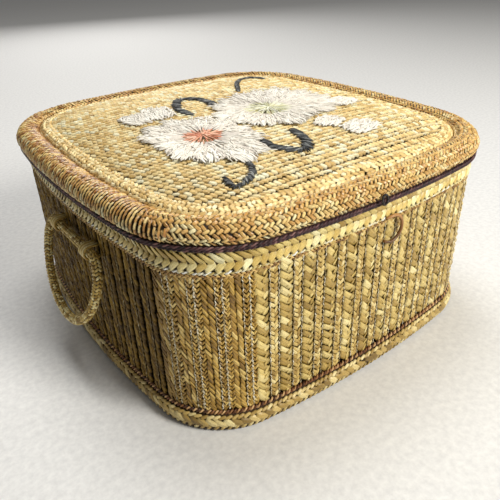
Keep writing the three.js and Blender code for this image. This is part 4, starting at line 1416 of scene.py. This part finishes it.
def eased(node, material, body, slot):
    """A copy of a CAD solid with its edges eased, standing for that node."""
    name = f"{node}_eased"
    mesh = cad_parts[node].data.copy()
    mesh.name = name
    shape = bmesh.new()
    shape.from_mesh(mesh)
    bmesh.ops.remove_doubles(shape, verts=shape.verts, dist=1e-6)
    bmesh.ops.dissolve_limit(
        shape, angle_limit=math.radians(0.8), verts=shape.verts, edges=shape.edges, delimit={"NORMAL"}
    )
    sharp = [e for e in shape.edges if len(e.link_faces) == 2 and e.calc_face_angle(0) > math.radians(35)]
    bmesh.ops.bevel(
        shape, geom=sharp, offset=EASED_EDGE * MM, segments=2, profile=0.6, affect="EDGES", clamp_overlap=True
    )
    bmesh.ops.recalc_face_normals(shape, faces=shape.faces)
    shape.to_mesh(mesh)
    shape.free()
    mesh.shade_smooth()
    return finished(mesh, material, body, slot, node)


def dress_cad():
    """Better materials on the CAD nodes that keep their own shape."""
    looks = {"base_board": BOARD, "wall_shell": SHADED_GROUND, "lid_board": BOARD, "lid_padding": SHADED_PANEL_GROUND}
    for name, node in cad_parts.items():
        material = BRASS if name.startswith("hinge_") else looks.get(name)
        if material is not None:
            node.data.materials.clear()
            node.data.materials.append(material)


# ---- Floor, light and camera ----


FLOOR_HALF = 14.0
FLOOR_GAP = 0.0004
LAMP_AIM = (0, 0, 0.07)
DAYLIGHT = (1.0, 0.98, 0.95, 1.0)
DAYLIGHT_STRENGTH = 0.16


def add_stage():
    """A pale floor, soft daylight from all round and three lamps. Metres and watts."""
    n = Nodes("pale_floor", 0.85)
    specks = n.noise(n.place(), 240.0, 4.0, 0.6)
    n.paint(n.ramp(specks, [(0.3, (214, 214, 214)), (0.7, (232, 232, 231))]))
    mesh = bpy.data.meshes.new("floor")
    r = FLOOR_HALF
    mesh.from_pydata([(-r, -r, 0), (r, -r, 0), (r, r, 0), (-r, r, 0)], [], [(0, 1, 2, 3)])
    mesh.materials.append(n.material)
    floor = bpy.data.objects.new("floor", mesh)
    bpy.context.scene.collection.objects.link(floor)
    floor.location.z = -FLOOR_GAP

    world = bpy.data.worlds.new("soft_world")
    world.use_nodes = True
    world.node_tree.nodes["Background"].inputs["Color"].default_value = DAYLIGHT
    world.node_tree.nodes["Background"].inputs["Strength"].default_value = DAYLIGHT_STRENGTH
    bpy.context.scene.world = world
    lamps = [
        ("key", (0.46, -1.28, 0.95), 0.6, 26.5, (1.0, 0.97, 0.9)),
        ("top", (0.1, 0.3, 1.4), 0.7, 9.5, (1.0, 0.99, 0.96)),
        ("rear", (0.5, 1.5, 0.8), 0.9, 8.0, (1.0, 0.98, 0.95)),
    ]
    for name, place, size, power, colour in lamps:
        light = bpy.data.lights.new(name, "AREA")
        light.shape = "DISK"
        light.size = size
        light.energy = power
        light.color = colour
        lamp = bpy.data.objects.new(name, light)
        lamp.location = place
        aim = Vector(LAMP_AIM) - Vector(place)
        lamp.rotation_euler = aim.to_track_quat("-Z", "Y").to_euler()
        bpy.context.scene.collection.objects.link(lamp)


def add_camera():
    """The photographer stood at the front-left corner and looked down at it."""
    place = Vector((-0.2320, -0.3291, 0.2607))
    yaw, pitch, roll = 0.630, -0.524, -0.034
    forward = Vector((math.cos(pitch) * math.sin(yaw), math.cos(pitch) * math.cos(yaw), math.sin(pitch)))
    right = forward.cross(Vector((0, 0, 1))).normalized()
    up = right.cross(forward)
    across = math.cos(roll) * right + math.sin(roll) * up
    above = -math.sin(roll) * right + math.cos(roll) * up
    data = bpy.data.cameras.new("camera")
    data.sensor_width = 36.0
    data.lens = 39.16
    data.clip_start = 0.01
    camera = bpy.data.objects.new("camera", data)
    turn = Matrix((across, above, -forward)).transposed().to_4x4()
    camera.matrix_world = Matrix.Translation(place) @ turn
    bpy.context.scene.collection.objects.link(camera)
    bpy.context.scene.camera = camera


add_camera()
add_stage()
bpy.context.scene.view_settings.view_transform = "Standard"
dress_cad()
add_wall()
add_rim()
add_foot()
add_roll()
add_piping()
add_loop()
add_panel()
add_embroidery()
for hand in (-1, 1):
    add_handle(hand)
add_front_ring()
add_linings()
add_woodwork()


def plain(box):
    return [[float(v) for v in corner] for corner in box]
